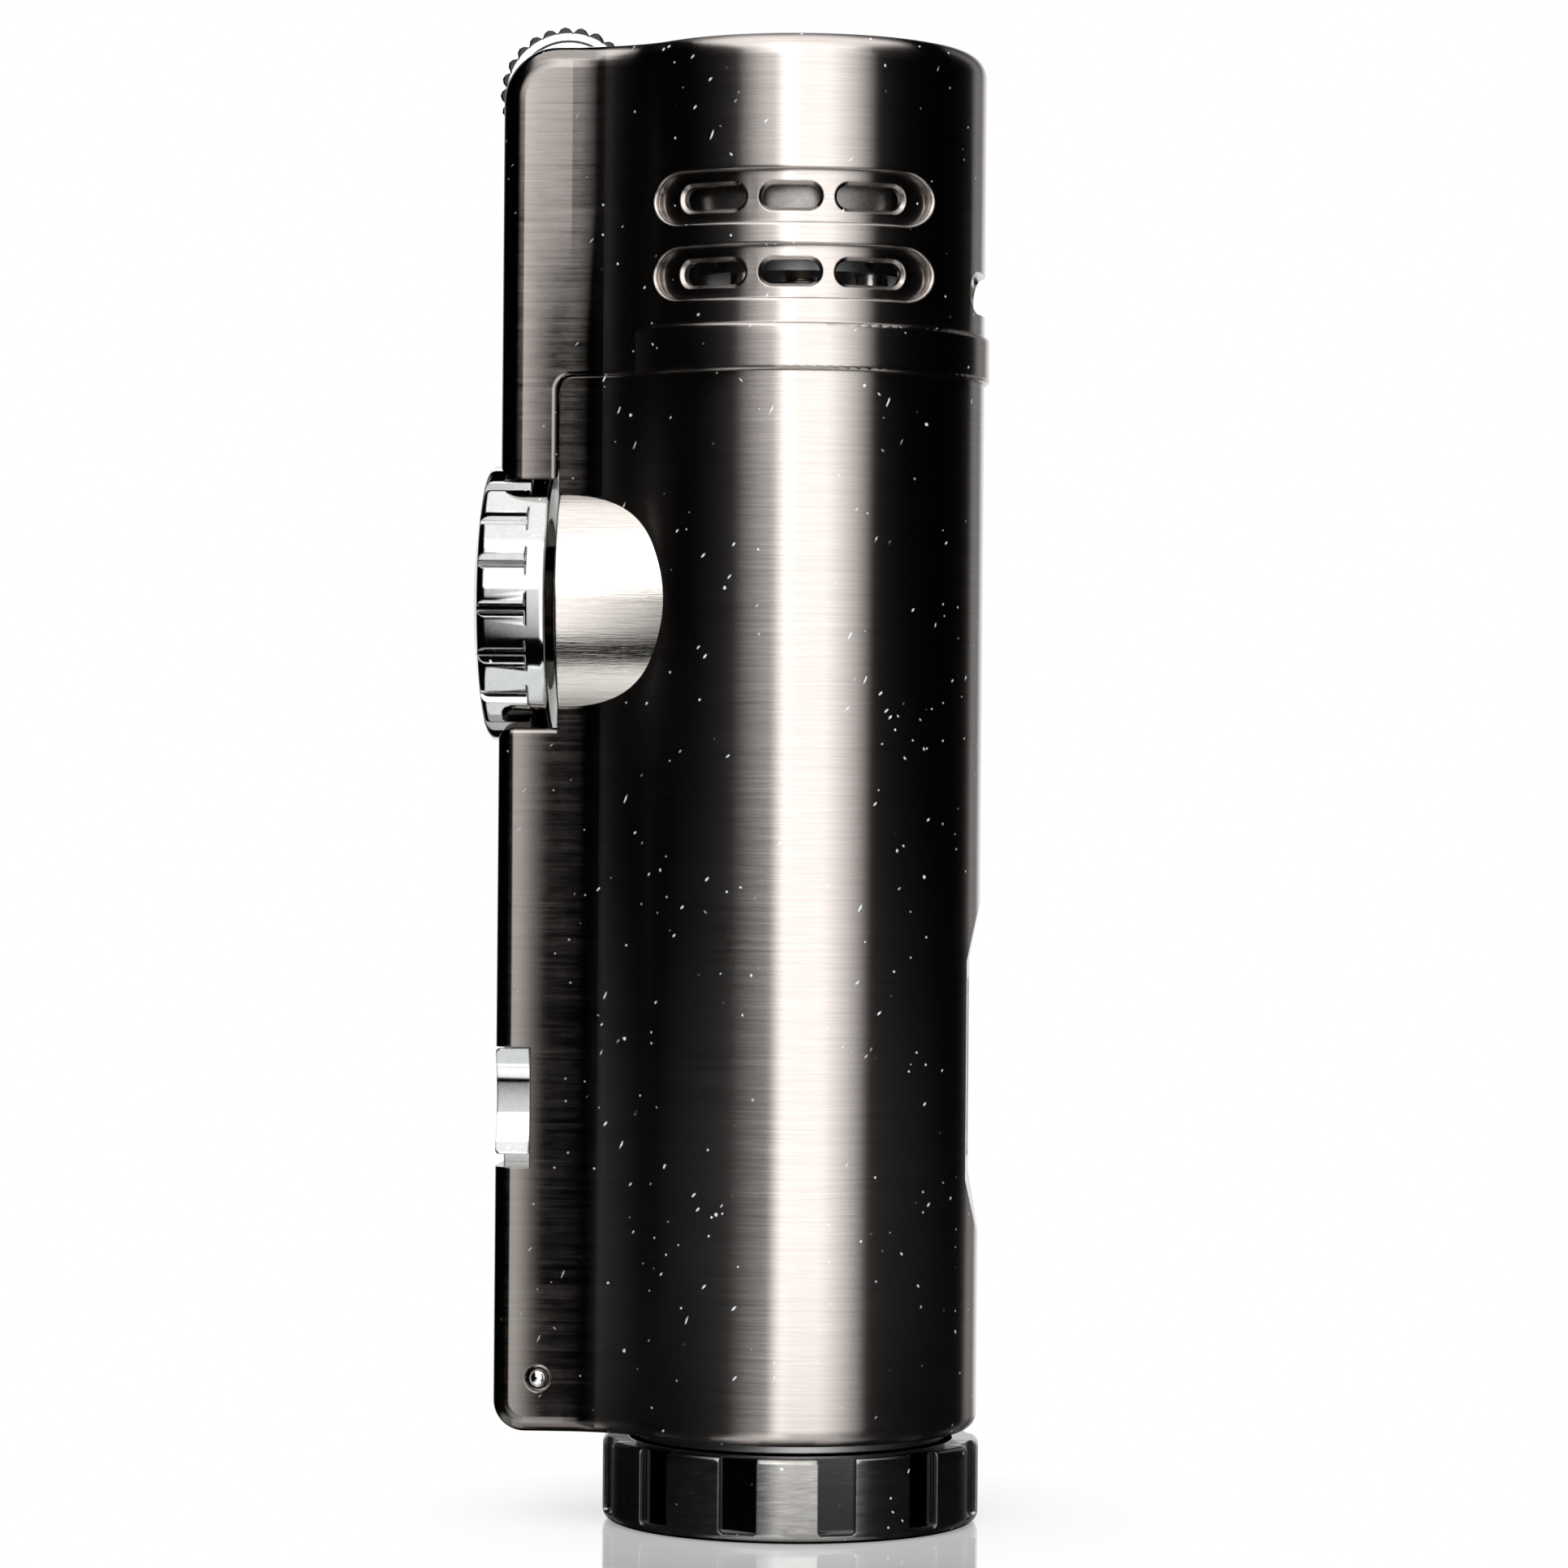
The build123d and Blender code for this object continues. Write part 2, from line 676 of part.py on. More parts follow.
# ---------------------------------------------------------------- fuel tank
with BuildPart() as fuel_tank:
    with Locations((0, 0, tank_bottom)):
        Cylinder(tank_radius, tank_length, align=upright)
        Cylinder(adjuster_radius + running, pad_chamber, align=upright, mode=Mode.SUBTRACT)
        Cylinder(filler_radius + seat, tank_length, align=upright, mode=Mode.SUBTRACT)
    with Locations((0, 0, tank_bottom + tank_floor)):
        Cylinder(tank_radius - tank_wall, tank_length, align=upright, mode=Mode.SUBTRACT)
    with PolarLocations(base_screw_offset, base_screw_count, start_angle=60):
        with Locations((0, 0, plate_top)):
            Cylinder(base_screw_head_radius * 1.5, tank_stand_off + 2 * hand_gap, align=upright)
            Cylinder(
                base_screw_radius + seat,
                tank_stand_off + base_screw_bite,
                align=upright,
                mode=Mode.SUBTRACT,
            )
    # The way from the pad's chamber to the gas tube
    with Locations((0, 0, tank_bottom + pad_chamber - pad_thickness / 2)):
        Cylinder(gas_tube_bore, gas_tube_offset, rotation=(-90, 0, 0), align=upright, mode=Mode.SUBTRACT)
    with Locations((0, gas_tube_offset, tank_bottom + pad_chamber / 3)):
        Cylinder(gas_tube_radius + seat, tank_floor, align=upright, mode=Mode.SUBTRACT)
save(fuel_tank, "fuel_tank")

with BuildPart() as tank_lid:
    with Locations((0, 0, tank_top)):
        Cylinder(tank_radius, lid_thickness, align=upright)
    with Locations((0, 0, tank_top - lid_spigot)):
        Cylinder(tank_radius - tank_wall - seat, lid_spigot, align=upright)
        Cylinder(tank_radius - 2 * tank_wall, lid_spigot, align=upright, mode=Mode.SUBTRACT)
    with Locations((0, gas_tube_offset, tank_top - lid_spigot)):
        Cylinder(gas_tube_radius + seat, lid_spigot + lid_thickness, align=upright, mode=Mode.SUBTRACT)
save(tank_lid, "tank_lid")

with BuildPart() as gas_tube:
    tube_bottom = tank_bottom + pad_chamber / 3
    with Locations((0, gas_tube_offset, tube_bottom)):
        Cylinder(gas_tube_radius, chassis_top + valve_block_height / 2 - tube_bottom, align=upright)
        Cylinder(gas_tube_bore, sleeve_top, align=upright, mode=Mode.SUBTRACT)
    with Locations((0, 0, tank_bottom + pad_chamber - pad_thickness / 2)):
        Cylinder(gas_tube_bore, gas_tube_offset, rotation=(-90, 0, 0), align=upright, mode=Mode.SUBTRACT)
save(gas_tube, "gas_tube")

with BuildPart() as flow_pad:
    with Locations((0, 0, tank_bottom + pad_chamber - pad_thickness)):
        Cylinder(adjuster_radius, pad_thickness, align=upright)
        Cylinder(filler_radius + seat, pad_thickness, align=upright, mode=Mode.SUBTRACT)
save(flow_pad, "flow_pad")

with BuildPart() as filler_valve:
    with Locations((0, 0, knob_recess + filler_recess)):
        Cylinder(filler_radius, filler_length, align=upright)
    with Locations((0, 0, tank_bottom + tank_floor + seal_wire * 2)):
        Cylinder(filler_radius + filler_flange, filler_flange, align=upright)
    with Locations((0, 0, knob_recess)):
        Cylinder(filler_stem_radius + sliding, filler_length - 1, align=upright, mode=Mode.SUBTRACT)
save(filler_valve, "filler_valve")

with BuildPart() as filler_seal:
    with BuildSketch(Plane.XZ):
        with Locations((filler_radius + seal_wire + seat, tank_bottom + tank_floor + seal_wire)):
            Circle(seal_wire - seat)
    revolve(axis=Axis.Z)
save(filler_seal, "filler_seal")

with BuildPart() as filler_stem:
    with Locations((0, 0, knob_recess + seat)):
        Cylinder(filler_stem_radius, filler_stem_length, align=upright)
        Cylinder(filler_stem_radius / 2, filler_stem_length - 1, align=upright, mode=Mode.SUBTRACT)
save(filler_stem, "filler_stem")

# ---------------------------------------------------------------- fuel window
with BuildPart() as fuel_window:
    with BuildSketch(Plane.YZ.offset(window_face - window_set_back - window_thickness)):
        with Locations((0, window_middle)):
            RectangleRounded(window_width - 2 * seat, window_length - 2 * seat, window_corner)
    extrude(amount=window_thickness)
    with Locations((0, 0, 0)):
        Cylinder(tank_radius + seat, sleeve_top, align=upright, mode=Mode.SUBTRACT)
save(fuel_window, "fuel_window")

# ---------------------------------------------------------------- punch socket, lock and blade
with BuildPart() as punch_socket:
    with Locations((-boss_face, 0, punch_height)):
        Cylinder(boss_radius, boss_face, rotation=(0, 90, 0), align=upright)
    fillet(punch_socket.edges().filter_by(GeomType.CIRCLE).group_by(Axis.X)[0], boss_edge)
    Cylinder(sleeve_bore + seat, hood_top, align=upright, mode=Mode.SUBTRACT)
    with Locations((-boss_face, 0, punch_height)):
        Cylinder(socket_radius, socket_length, rotation=(0, 90, 0), align=upright)
        Cylinder(
            lock_sleeve_radius + running,
            socket_length - socket_end,
            rotation=(0, 90, 0),
            align=upright,
            mode=Mode.SUBTRACT,
        )
save(punch_socket, "punch_socket")

with BuildPart() as lock_sleeve:
    with Locations((-lock_face, 0, punch_height)):
        Cylinder(lock_sleeve_radius, lock_sleeve_length, rotation=(0, 90, 0), align=upright)
        Cylinder(
            lock_sleeve_bore,
            lock_sleeve_length,
            rotation=(0, 90, 0),
            align=upright,
            mode=Mode.SUBTRACT,
        )
        Box(
            2 * (collar_length + hand_gap),
            key_width + 2 * sliding,
            2 * (collar_radius + key_rise + hand_gap),
            mode=Mode.SUBTRACT,
        )
save(lock_sleeve, "lock_sleeve")

with BuildPart() as punch_collar:
    with Locations((-lock_face, 0, punch_height)):
        Cylinder(collar_radius, collar_length, rotation=(0, 90, 0), align=upright)
        Box(
            collar_length,
            key_width,
            2 * (collar_radius + key_rise),
            align=(Align.MIN, Align.CENTER, Align.CENTER),
        )
        Cylinder(
            dial_stem_radius + seat,
            collar_length,
            rotation=(0, 90, 0),
            align=upright,
            mode=Mode.SUBTRACT,
        )
        with Locations((collar_length / 2, 0, 0)):
            Cylinder(
                blade_radius + seat,
                collar_length,
                rotation=(0, 90, 0),
                align=upright,
                mode=Mode.SUBTRACT,
            )
save(punch_collar, "punch_collar")

with BuildPart() as punch_blade:
    with Locations((-lock_face + collar_length / 2, 0, punch_height)):
        Cylinder(blade_radius, blade_length, rotation=(0, 90, 0), align=upright)
    cutting_edge = punch_blade.edges().filter_by(GeomType.CIRCLE).sort_by(Axis.X)[-1]
    chamfer(cutting_edge, blade_bevel, blade_wall * 0.85)
    with Locations((-lock_face + collar_length / 2, 0, punch_height)):
        Cylinder(
            blade_radius - blade_wall,
            blade_length,
            rotation=(0, 90, 0),
            align=upright,
            mode=Mode.SUBTRACT,
        )
save(punch_blade, "punch_blade")

# ---------------------------------------------------------------- side knob
def dome_x(radius):
    """Where the knob's dome stands at this distance from its axis."""
    return dial_dome_radius - dial_reach - sqrt(dial_dome_radius**2 - radius**2)


def domed_disc(radius, back):
    """Half the section of a disc with a domed face, from its flat back."""
    with BuildSketch(Plane.XZ.shift_origin((0, 0, punch_height))) as half:
        with BuildLine():
            Polyline((-dial_reach, 0), (back, 0), (back, radius), (dome_x(radius), radius))
            ThreePointArc((dome_x(radius), radius), (dome_x(radius / 2), radius / 2), (-dial_reach, 0))
        make_face()
    return half


with BuildPart() as side_knob:
    dial_half = domed_disc(dial_radius, -dial_back)
    with BuildSketch(Plane.XZ.shift_origin((0, 0, punch_height))) as dial_section:
        add(dial_half.sketch_local)
        fillet(dial_section.vertices().group_by(Axis.Y)[-1].sort_by(Axis.X)[0], dial_edge)
    revolve(axis=Axis((0, 0, punch_height), (1, 0, 0)))
    back_rim = side_knob.edges().filter_by(GeomType.CIRCLE).sort_by(Axis.X)[-1]
    fillet(back_rim, dial_edge / 3)
    groove_plane = Plane((-dial_back - dial_flange, 0, punch_height), x_dir=(0, 1, 0), z_dir=(-1, 0, 0))
    with BuildSketch(groove_plane):
        with PolarLocations(dial_radius, dial_groove_count):
            Rectangle(2 * dial_groove_depth, dial_groove_width)
    extrude(amount=dial_reach, mode=Mode.SUBTRACT)
    # The cap's seat in the dome, and the stem that carries the collar
    with Locations((-dial_reach + cap_thickness, 0, punch_height)):
        Cylinder(cap_radius + seat, dial_reach, rotation=(0, -90, 0), align=upright, mode=Mode.SUBTRACT)
    with Locations((-dial_back, 0, punch_height)):
        Cylinder(
            dial_stem_radius,
            dial_back - lock_face + collar_length / 2,
            rotation=(0, 90, 0),
            align=upright,
        )
save(side_knob, "side_knob")

with BuildPart() as knob_cap:
    with BuildSketch(Plane.XZ.shift_origin((0, 0, punch_height))):
        add(domed_disc(cap_radius, -dial_reach + cap_thickness).sketch_local)
    revolve(axis=Axis((0, 0, punch_height), (1, 0, 0)))
save(knob_cap, "knob_cap")

# ---------------------------------------------------------------- pick
pick_back = -spine_reach + pick_depth
with BuildPart() as pick:
    with BuildSketch(Plane.XZ):
        edge_x = -spine_reach + hand_gap
        with BuildLine():
            Polyline(
                (edge_x, pick_pin_height),
                (edge_x, notch_top),
                (edge_x - pick_proud, notch_top + hand_gap),
                (edge_x, pick_top - pick_point),
                (edge_x + pick_depth / 2, pick_top),
                (pick_back, pick_top - pick_point / 2),
                (pick_back, pick_pin_height),
                close=True,
            )
        make_face()
        with Locations((-pick_pin_reach, pick_pin_height)):
            Circle(pick_tang_radius)
            Circle(pick_pin_radius + running, mode=Mode.SUBTRACT)
    extrude(amount=pick_thickness / 2, both=True)
    # The thumb tab that fills the notch, hollowed on both sides for the fingertips
    tab_bottom = notch_bottom + tab_gap
    tab_top = notch_top - hand_gap
    with BuildPart(mode=Mode.PRIVATE) as tab:
        with Locations((-spine_reach, 0, tab_bottom)):
            Box(
                notch_depth - hand_gap,
                spine_width - 2 * tab_inset,
                tab_top - tab_bottom,
                align=(Align.MIN, Align.CENTER, Align.MIN),
            )
        fillet(tab.edges().group_by(Axis.X)[0], tab_edge)
        scoop_y = spine_half - tab_inset - tab_scoop_depth + tab_scoop_radius
        with Locations((0, 0, (tab_bottom + tab_top) / 2)):
            with Locations((0, -scoop_y, 0), (0, scoop_y, 0)):
                Cylinder(tab_scoop_radius, 3 * spine_reach, rotation=(0, 90, 0), mode=Mode.SUBTRACT)
    add(tab.part)
save(pick, "pick")

with BuildPart() as pick_pin:
    cross_bar(pick_pin_radius, 2 * (spine_half - pick_pin_sink / 2), -pick_pin_reach, pick_pin_height)
    with Locations((-pick_pin_reach, -spine_half + pick_pin_sink / 2, pick_pin_height)):
        Sphere(pick_pin_radius)
save(pick_pin, "pick_pin")

with BuildPart() as pick_spring:
    with Locations((-spine_reach + slot_depth - seat, 0, pick_pin_height + pick_swing_room)):
        Box(
            backspring_thickness,
            pick_thickness,
            backspring_length,
            align=(Align.MAX, Align.CENTER, Align.MIN),
        )
save(pick_spring, "pick_spring")

# ---------------------------------------------------------------- chassis plate, posts and joint ring
with BuildPart() as chassis_plate:
    with Locations((0, 0, chassis_bottom)):
        Cylinder(sleeve_bore - sliding, chassis_thickness, align=upright)
        for angle in post_angles:
            with PolarLocations(post_offset, 1, start_angle=angle):
                Cylinder(post_screw_radius + seat, chassis_thickness, align=upright, mode=Mode.SUBTRACT)
    with Locations((0, gas_tube_offset, chassis_bottom)):
        Cylinder(gas_tube_radius + seat, chassis_thickness, align=upright, mode=Mode.SUBTRACT)
save(chassis_plate, "chassis_plate")

with BuildPart() as burner_posts:
    for angle in post_angles:
        with PolarLocations(post_offset, 1, start_angle=angle):
            with Locations((0, 0, chassis_top)):
                Cylinder(post_radius, burner_bottom - chassis_top, align=upright)
                Cylinder(post_screw_radius + seat, chassis_thickness, align=upright, mode=Mode.SUBTRACT)
save(burner_posts, "burner_posts")

with BuildPart() as post_screws:
    for angle in post_angles:
        with PolarLocations(post_offset, 1, start_angle=angle):
            with Locations((0, 0, chassis_bottom)):
                Cylinder(post_screw_radius, 2 * chassis_thickness - hand_gap, align=upright)
                Cylinder(post_screw_head, post_screw_head, align=(Align.CENTER, Align.CENTER, Align.MAX))
save(post_screws, "post_screws")

with BuildPart() as joint_ring:
    with Locations((0, 0, sleeve_top - ring_drop)):
        Cylinder(sleeve_bore - sliding, ring_drop + ring_rise, align=upright)
        Cylinder(sleeve_bore - ring_wall, ring_drop + ring_rise, align=upright, mode=Mode.SUBTRACT)
save(joint_ring, "joint_ring")

# ---------------------------------------------------------------- valve
with BuildPart() as valve_block:
    block_front = valve_radius + block_margin
    block_back = gas_tube_offset + gas_tube_radius + block_margin
    with Locations((0, -block_front, chassis_top)):
        Box(
            valve_block_width,
            block_front + block_back,
            valve_block_height,
            align=(Align.CENTER, Align.MIN, Align.MIN),
        )
    fillet(valve_block.edges().filter_by(Axis.Z), valve_block_width / 6)
    with Locations((0, gas_tube_offset, chassis_top)):
        Cylinder(gas_tube_radius + seat, valve_block_height / 2, align=upright, mode=Mode.SUBTRACT)
    with Locations((0, 0, chassis_top + valve_block_height / 3)):
        Cylinder(gas_tube_bore, gas_tube_offset, rotation=(-90, 0, 0), align=upright, mode=Mode.SUBTRACT)
        Cylinder(stem_radius + running, valve_block_height, align=upright, mode=Mode.SUBTRACT)
save(valve_block, "valve_block")

with BuildPart() as valve_body:
    with Locations((0, 0, valve_block_top)):
        Cylinder(valve_radius, valve_height, align=upright)
    fillet(valve_body.edges().group_by(Axis.Z)[-1], valve_radius / 6)
    with Locations((0, 0, valve_block_top)):
        Cylinder(stem_radius + running, valve_height, align=upright, mode=Mode.SUBTRACT)
save(valve_body, "valve_body")

with BuildPart() as valve_stem:
    with Locations((0, 0, stem_bottom)):
        Cylinder(stem_radius, stem_top - stem_bottom, align=upright)
    with Locations((0, 0, flange_bottom)):
        Cylinder(stem_flange_radius, stem_flange_height, align=upright)
    with Locations((0, 0, valve_top)):
        Cylinder(stem_radius / 3, stem_top, align=upright, mode=Mode.SUBTRACT)
save(valve_stem, "valve_stem")

with BuildPart() as valve_spring:
    spring_bottom = flange_bottom + stem_flange_height
    coil_radius = stem_flange_radius - hand_gap
    coil = spring(coil_radius, valve_spring_wire, valve_spring_pitch, burner_bottom - spring_bottom)
    add(coil.moved(Location((0, 0, spring_bottom))))
save(valve_spring, "valve_spring")

# ---------------------------------------------------------------- valve rocker
with BuildPart() as valve_rocker:
    with Locations((-rocker_reach - rocker_tail, 0, rocker_top)):
        Box(
            rocker_tail + rocker_nose,
            rocker_width,
            rocker_thickness,
            align=(Align.MIN, Align.CENTER, Align.MAX),
        )
        Box(
            rocker_tail + rocker_nose,
            rocker_width,
            rocker_pad,
            align=(Align.MIN, Align.CENTER, Align.MIN),
        )
    # The pads are left only under the trigger's arms and under the stem's flange
    with Locations((-rocker_reach - rocker_tail + rocker_pad_tail, 0, rocker_top)):
        gap_length = rocker_tail + rocker_nose - rocker_pad_tail - rocker_pad_nose
        Box(
            gap_length,
            rocker_width,
            rocker_pad,
            align=(Align.MIN, Align.CENTER, Align.MIN),
            mode=Mode.SUBTRACT,
        )
    cross_bar(rocker_pin_radius * 2, rocker_width, -rocker_reach, rocker_height)
    cross_bar(rocker_pin_radius + running, rocker_width, -rocker_reach, rocker_height, Mode.SUBTRACT)
    stem_slot = 2 * (stem_radius + rocker_slot_gap)
    with BuildSketch(Plane.XY.offset(rocker_height - rocker_thickness)):
        with Locations((stem_radius, 0)):
            SlotOverall(2 * stem_slot, stem_slot)
    extrude(amount=3 * rocker_thickness, mode=Mode.SUBTRACT)
save(valve_rocker, "valve_rocker")

with BuildPart() as rocker_stand:
    ear_y = rocker_width / 2 + hand_gap
    with BuildSketch(Plane.XZ):
        with Locations((-rocker_reach, chassis_top)):
            Rectangle(4 * rocker_pin_radius, rocker_height - chassis_top, align=(Align.CENTER, Align.MIN))
        with Locations((-rocker_reach, rocker_height)):
            Circle(2 * rocker_pin_radius)
            Circle(rocker_pin_radius + seat, mode=Mode.SUBTRACT)
    extrude(amount=ear_y + stand_wall, both=True)
    with Locations((-rocker_reach, 0, chassis_top + chassis_thickness)):
        Box(rocker_reach, 2 * ear_y, sleeve_top, align=upright, mode=Mode.SUBTRACT)
save(rocker_stand, "rocker_stand")

with BuildPart() as rocker_pin:
    cross_bar(rocker_pin_radius, 2 * (ear_y + stand_wall), -rocker_reach, rocker_height)
save(rocker_pin, "rocker_pin")

# ---------------------------------------------------------------- burner
with BuildPart() as burner_body:
    with Locations((0, 0, burner_bottom)):
        Cylinder(burner_radius, burner_height, align=upright)
    fillet(burner_body.edges().group_by(Axis.Z)[-1], burner_height / 8)
    with Locations((0, 0, burner_bottom)):
        Cylinder(stem_radius + sliding, burner_height / 2, align=upright, mode=Mode.SUBTRACT)
        with PolarLocations(nozzle_reach, nozzle_count, start_angle=45):
            with Locations((0, 0, burner_height / 2)):
                Cylinder(nozzle_radius + seat, burner_height, align=upright, mode=Mode.SUBTRACT)
    # Air inlets drilled from the side below the guard's shelf, one to each nozzle
    for turn in range(nozzle_count):
        inlet = Location((0, 0, burner_bottom + burner_height / 6), (0, 0, 45 + 360 * turn / nozzle_count))
        with Locations(inlet * Location((burner_radius, 0, 0), (0, -90, 0))):
            Cylinder(
                nozzle_bore,
                burner_radius - nozzle_reach + nozzle_bore,
                align=upright,
                mode=Mode.SUBTRACT,
            )
save(burner_body, "burner_body")

with BuildPart() as jet_nozzles:
    with PolarLocations(nozzle_reach, nozzle_count, start_angle=45):
        with Locations((0, 0, burner_bottom + burner_height / 2)):
            Cylinder(nozzle_radius, burner_height / 2 + nozzle_height, align=upright)
            Cylinder(nozzle_bore, burner_height + nozzle_height, align=upright, mode=Mode.SUBTRACT)
        with Locations((0, 0, burner_bottom + burner_height + nozzle_height)):
            Cylinder(
                nozzle_radius - nozzle_lip,
                nozzle_cup,
                align=(Align.CENTER, Align.CENTER, Align.MAX),
                mode=Mode.SUBTRACT,
            )
save(jet_nozzles, "jet_nozzles")

with BuildPart() as flame_guard:
    guard_top = hood_top - hood_roof - hand_gap
    with Locations((0, 0, guard_bottom)):
        Cylinder(guard_radius, guard_top - guard_bottom, align=upright)
    with Locations((0, 0, guard_bottom + guard_shelf)):
        Cylinder(guard_radius - guard_wall, hood_height, align=upright, mode=Mode.SUBTRACT)
    with Locations((0, 0, guard_bottom)):
        Cylinder(burner_radius + seat, hood_height, align=upright, mode=Mode.SUBTRACT)
    with Locations((-guard_radius / 2, 0, guard_top)):
        Box(
            guard_radius,
            spark_window_width,
            spark_window_height,
            align=(Align.MAX, Align.CENTER, Align.MAX),
            mode=Mode.SUBTRACT,
        )
save(flame_guard, "flame_guard")

# ---------------------------------------------------------------- flint wheel and its bracket
with BuildPart() as thumb_wheels:
    with BuildSketch(Plane.XZ):
        with Locations(wheel_spot):
            Circle(wheel_radius)
            with PolarLocations(wheel_radius, wheel_tooth_count):
                tooth_gap = wheel_tooth_depth * sqrt(2)
                Rectangle(tooth_gap, tooth_gap, rotation=45, mode=Mode.SUBTRACT)
            Circle(axle_radius + running, mode=Mode.SUBTRACT)
    extrude(amount=wheel_width / 2, both=True)
    with Locations((-wheel_offset, 0, wheel_height)):
        Box(3 * wheel_radius, core_width, 3 * wheel_radius, mode=Mode.SUBTRACT)
save(thumb_wheels, "thumb_wheels")

with BuildPart() as flint_wheel:
    with BuildSketch(Plane.XZ):
        with Locations(wheel_spot):
            Circle(core_radius)
            with PolarLocations(core_radius, core_groove_count):
                Rectangle(core_groove_depth, core_groove_depth, rotation=45, mode=Mode.SUBTRACT)
            Circle(axle_radius + running, mode=Mode.SUBTRACT)
    extrude(amount=core_width / 2, both=True)
save(flint_wheel, "flint_wheel")

with BuildPart() as wheel_axle:
    cross_bar(axle_radius, 2 * bracket_outer, -wheel_offset, wheel_height)
save(wheel_axle, "wheel_axle")

with BuildPart() as wheel_bracket:
    ear_radius = hood_top - hood_roof - wheel_height - hand_gap
    ear_bottom = sleeve_top + seat
    with BuildSketch(Plane.XZ):
        with Locations((-wheel_offset, ear_bottom)):
            Rectangle(bracket_length, bracket_base_height, align=(Align.CENTER, Align.MIN))
        with Locations((-wheel_offset + bracket_length / 2, ear_bottom)):
            Rectangle(bracket_foot, bracket_base_height, align=(Align.MIN, Align.MIN))
        with Locations((-wheel_offset, ear_bottom)):
            Rectangle(2 * ear_radius, wheel_height - ear_bottom, align=(Align.CENTER, Align.MIN))
        with Locations(wheel_spot):
            Circle(ear_radius)
            Circle(axle_radius + seat, mode=Mode.SUBTRACT)
    extrude(amount=bracket_outer, both=True)
    with Locations((-wheel_offset, 0, sleeve_top + bracket_base_height)):
        Box(spine_reach, 2 * bracket_inner, hood_height, align=upright, mode=Mode.SUBTRACT)
    with Locations((-flint_offset, 0, sleeve_top)):
        Cylinder(flint_tube_radius + seat, hood_height, align=upright, mode=Mode.SUBTRACT)
    with Locations((-bracket_screw_offset, 0, sleeve_top + bracket_base_height)):
        with GridLocations(0, bracket_screw_width, 1, 2):
            CounterBoreHole(
                bracket_screw_radius + seat,
                bracket_screw_head + seat,
                bracket_foot,
                hood_height,
            )
save(wheel_bracket, "wheel_bracket")

with BuildPart() as bracket_screws:
    with Locations((-bracket_screw_offset, 0, sleeve_top + bracket_base_height)):
        with GridLocations(0, bracket_screw_width, 1, 2):
            down = (Align.CENTER, Align.CENTER, Align.MAX)
            Cylinder(bracket_screw_radius, bracket_screw_length - hand_gap, align=down)
            Cylinder(bracket_screw_head, bracket_foot, align=down)
            Box(2 * bracket_screw_head, screw_slot, screw_slot, align=down, mode=Mode.SUBTRACT)
save(bracket_screws, "bracket_screws")

with BuildPart() as flint_tube:
    with Locations((-flint_offset, 0, flint_screw_bottom)):
        Cylinder(flint_tube_radius, flint_tube_top - flint_screw_bottom, align=upright)
        Cylinder(flint_radius + sliding, hood_height, align=upright, mode=Mode.SUBTRACT)
save(flint_tube, "flint_tube")

with BuildPart() as flint:
    with Locations((-flint_offset, 0, flint_top)):
        Cylinder(flint_radius, flint_length, align=(Align.CENTER, Align.CENTER, Align.MAX))
save(flint, "flint")

with BuildPart() as flint_screw:
    with Locations((-flint_offset, 0, flint_screw_bottom)):
        Cylinder(flint_radius, flint_screw_length, align=upright)
        Box(2 * flint_radius, screw_slot, screw_slot, align=upright, mode=Mode.SUBTRACT)
save(flint_screw, "flint_screw")

with BuildPart() as flint_spring:
    coil_bottom = flint_screw_bottom + flint_screw_length
    coil_height = flint_top - flint_length - coil_bottom
    coil = spring(flint_radius - sliding, flint_spring_wire, flint_spring_pitch, coil_height)
    add(coil.moved(Location((-flint_offset, 0, coil_bottom))))
save(flint_spring, "flint_spring")

# ---------------------------------------------------------------- trigger
with BuildPart() as trigger:
    trigger_face = -spine_reach - trigger_proud
    with Locations((trigger_face, 0, trigger_bottom)):
        Box(
            trigger_thickness,
            trigger_width,
            trigger_top - trigger_bottom,
            align=(Align.MIN, Align.CENTER, Align.MIN),
        )
    fillet(trigger.faces().sort_by(Axis.X)[0].edges(), trigger_thickness / 4)
    # Knuckles round the pin at the foot
    with BuildSketch(Plane.XZ):
        with Locations((-trigger_pin_reach, trigger_pin_height)):
            Circle(trigger_knuckle_radius)
            Rectangle(
                -trigger_face - trigger_thickness / 2 - trigger_pin_reach,
                2 * trigger_knuckle_radius,
                align=(Align.MAX, Align.CENTER),
            )
    extrude(amount=trigger_width / 2, both=True)
    cross_bar(
        trigger_knuckle_radius + hand_gap,
        trigger_width - 2 * trigger_knuckle_width,
        -trigger_pin_reach,
        trigger_pin_height,
        Mode.SUBTRACT,
    )
    cross_bar(
        trigger_pin_radius + running,
        trigger_width,
        -trigger_pin_reach,
        trigger_pin_height,
        Mode.SUBTRACT,
    )
    # Two arms reach past the flint tube to the rocker
    arm_y = (trigger_width - trigger_arm_thickness) / 2
    near_arm = (-trigger_arm_reach, -arm_y, trigger_arm_bottom)
    far_arm = (-trigger_arm_reach, arm_y, trigger_arm_bottom)
    with Locations(near_arm, far_arm):
        Box(
            -trigger_face - trigger_thickness / 2 - trigger_arm_reach,
            trigger_arm_thickness,
            trigger_arm_height,
            align=(Align.MAX, Align.CENTER, Align.MIN),
        )
save(trigger, "trigger")

with BuildPart() as trigger_pin:
    cross_bar(trigger_pin_radius, trigger_pin_length - hand_gap, -trigger_pin_reach, trigger_pin_height)
save(trigger_pin, "trigger_pin")

